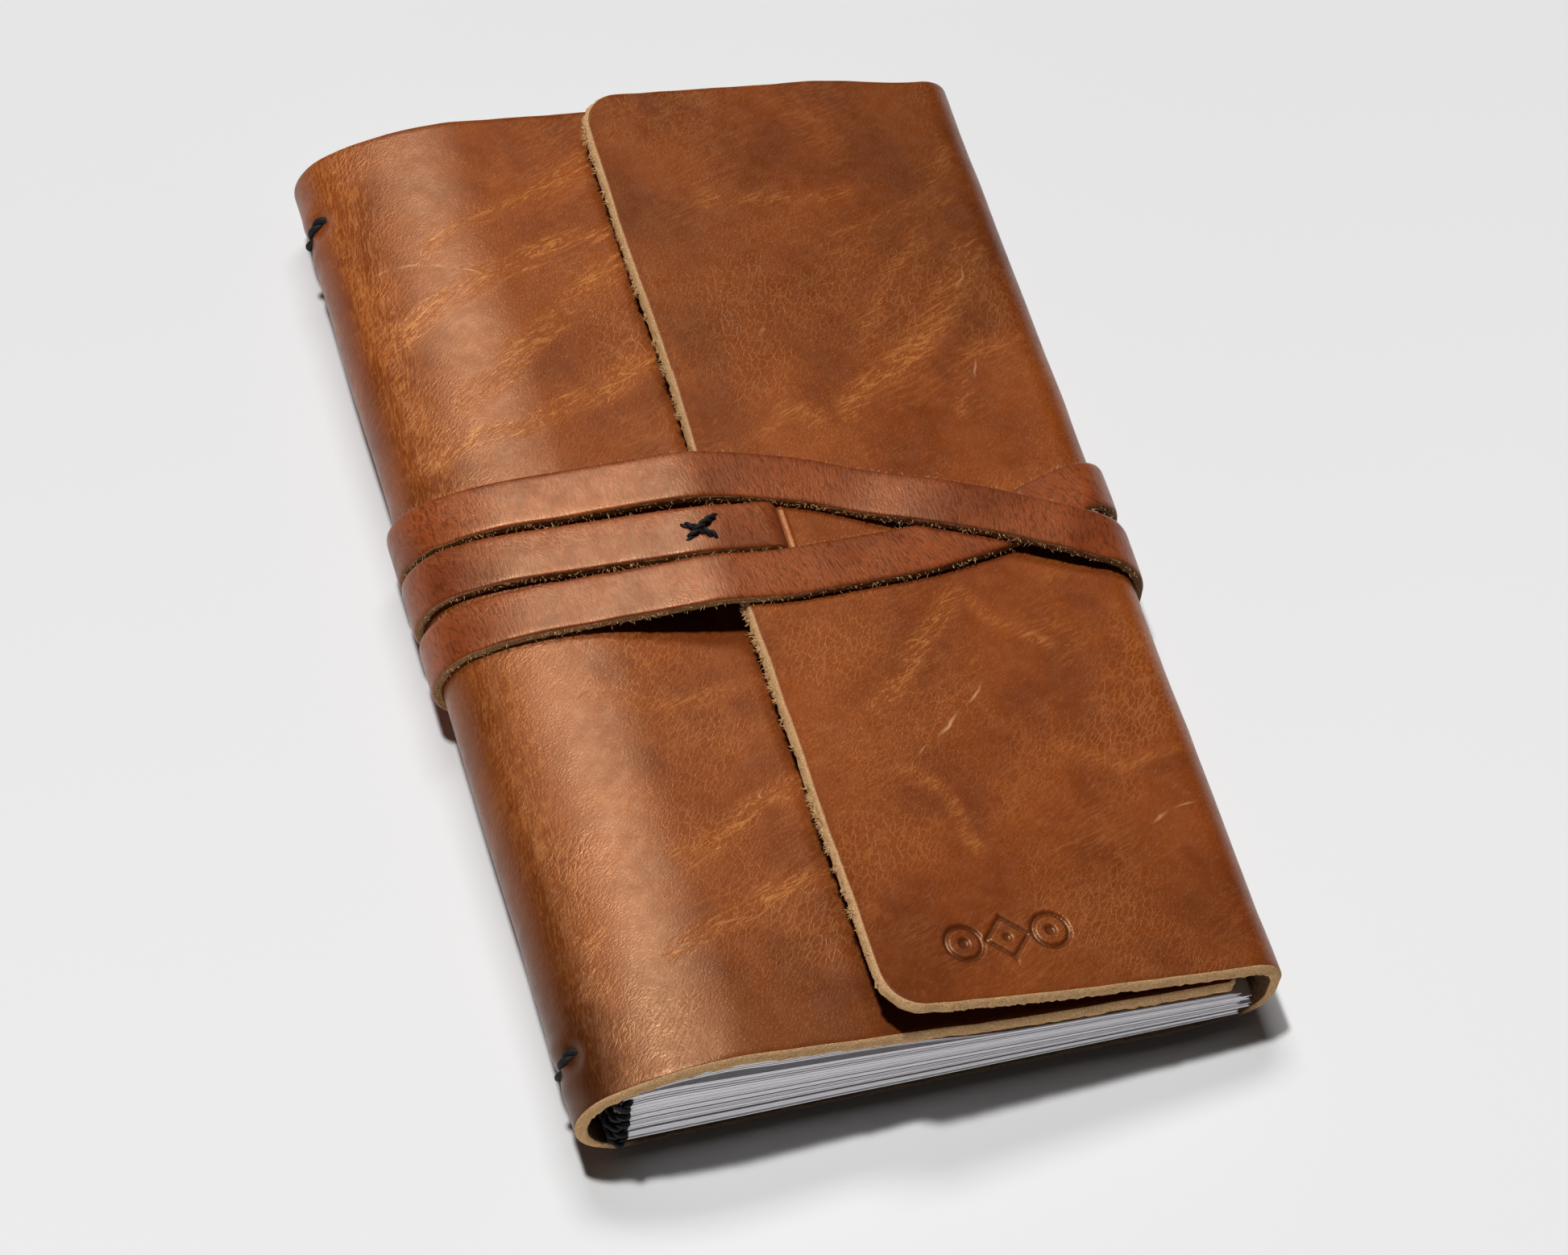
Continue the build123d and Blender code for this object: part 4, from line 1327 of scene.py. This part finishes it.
def signature_cord(index):
    """Down the fold, round both ends of the pages and back along the fold's outside."""
    inner = PAGE_FOLD_X + 1.1
    outer = PAGE_FOLD_X - CORD_STAND[index]
    z = float(signature_line(np.array(inner), (index + 0.5) / SIGNATURES))
    middle = (inner + outer) / 2
    turn = ((outer, -2.0), (outer + 0.5, 0.7), (middle, 1.1), (inner - 0.3, 0.7), (inner, -2.0))
    stops = [(outer, STITCH_HEAD_Y, z)]
    stops += [(x, PAGE_HEAD + beyond, z) for x, beyond in turn]
    stops += [(inner, 0, z)]
    stops += [(x, PAGE_FOOT - beyond, z) for x, beyond in turn[::-1]]
    stops += [(outer, STITCH_FOOT_Y, z)]
    return cord_object(f"signature_cord_{index + 1}_cord", [stops], THREAD, CORD, 4.4)


build_cover()
build_straps()
build_back_runs()
build_cross()
build_spine_stitches()
build_pages()


# Floor, light and camera

def build_floor():
    mesh = bpy.data.meshes.new("floor")
    reach = 6.0
    corners = [(-reach, -reach, 0), (reach, -reach, 0), (reach, reach, 0), (-reach, reach, 0)]
    mesh.from_pydata(corners, [], [(0, 1, 2, 3)])
    obj = bpy.data.objects.new("floor", mesh)
    bpy.context.scene.collection.objects.link(obj)
    sh = Shader("studio_floor")
    # Painted light falloff: the floor is darker towards the back and lighter towards the camera.
    far = sh.fit(sh.add("ShaderNodeSeparateXYZ", Vector=sh.own_place()).outputs[1], -0.19, 0.24)
    colour = sh.mix(far, (0.765, 0.765, 0.765), (0.665, 0.665, 0.67))
    mesh.materials.append(sh.coat(colour, 0.9, 0.1))


def area_light(name, direction, distance, size, power):
    """A soft light that faces the notebook from a direction."""
    data = bpy.data.lights.new(name, "AREA")
    data.shape = "RECTANGLE"
    data.size, data.size_y = size
    data.energy = power
    obj = bpy.data.objects.new(name, data)
    away = Vector(direction).normalized()
    obj.location = away * distance
    obj.rotation_euler = away.to_track_quat("Z", "Y").to_euler()
    bpy.context.scene.collection.objects.link(obj)


def build_lights():
    world = bpy.data.worlds.new("studio")
    bpy.context.scene.world = world
    world.use_nodes = True
    background = world.node_tree.nodes["Background"]
    background.inputs[0].default_value = (1.0, 1.0, 1.0, 1.0)
    background.inputs[1].default_value = 0.012
    area_light("overhead", (-0.18, 0.22, 0.96), 4.5, (0.35, 0.35), 160.0)
    area_light("sheen", (0.02, 0.53, 0.84), 4.5, (2.1, 0.9), 84.0)
    area_light("front", (-0.45, -0.89, 0.03), 2.2, (0.8, 0.10), 12.0)


CAMERA_AZIMUTH = -24.08
CAMERA_ELEVATION = 55.62
CAMERA_ROLL = 9.66
CAMERA_DISTANCE = 1101.59
CAMERA_TARGET = (2.8, -4.75, 0.0)
CAMERA_LENS = 131.33


def build_camera():
    azimuth, elevation = radians(CAMERA_AZIMUTH), radians(CAMERA_ELEVATION)
    back = Vector((sin(azimuth) * cos(elevation), -cos(azimuth) * cos(elevation), sin(elevation)))
    right = Vector((0, 0, 1)).cross(back).normalized()
    up = back.cross(right)
    roll = radians(CAMERA_ROLL)
    x_axis = right * cos(roll) + up * sin(roll)
    y_axis = up * cos(roll) - right * sin(roll)
    data = bpy.data.cameras.new("camera")
    data.lens = CAMERA_LENS
    data.sensor_width = 36.0
    data.clip_end = 20.0
    obj = bpy.data.objects.new("camera", data)
    turn = Matrix((x_axis, y_axis, back)).transposed().to_4x4()
    place = (Vector(CAMERA_TARGET) + back * CAMERA_DISTANCE) * MM
    obj.matrix_world = Matrix.Translation(place) @ turn
    bpy.context.scene.collection.objects.link(obj)
    bpy.context.scene.camera = obj


build_floor()
build_lights()
build_camera()
bpy.context.scene.view_settings.view_transform = "Standard"
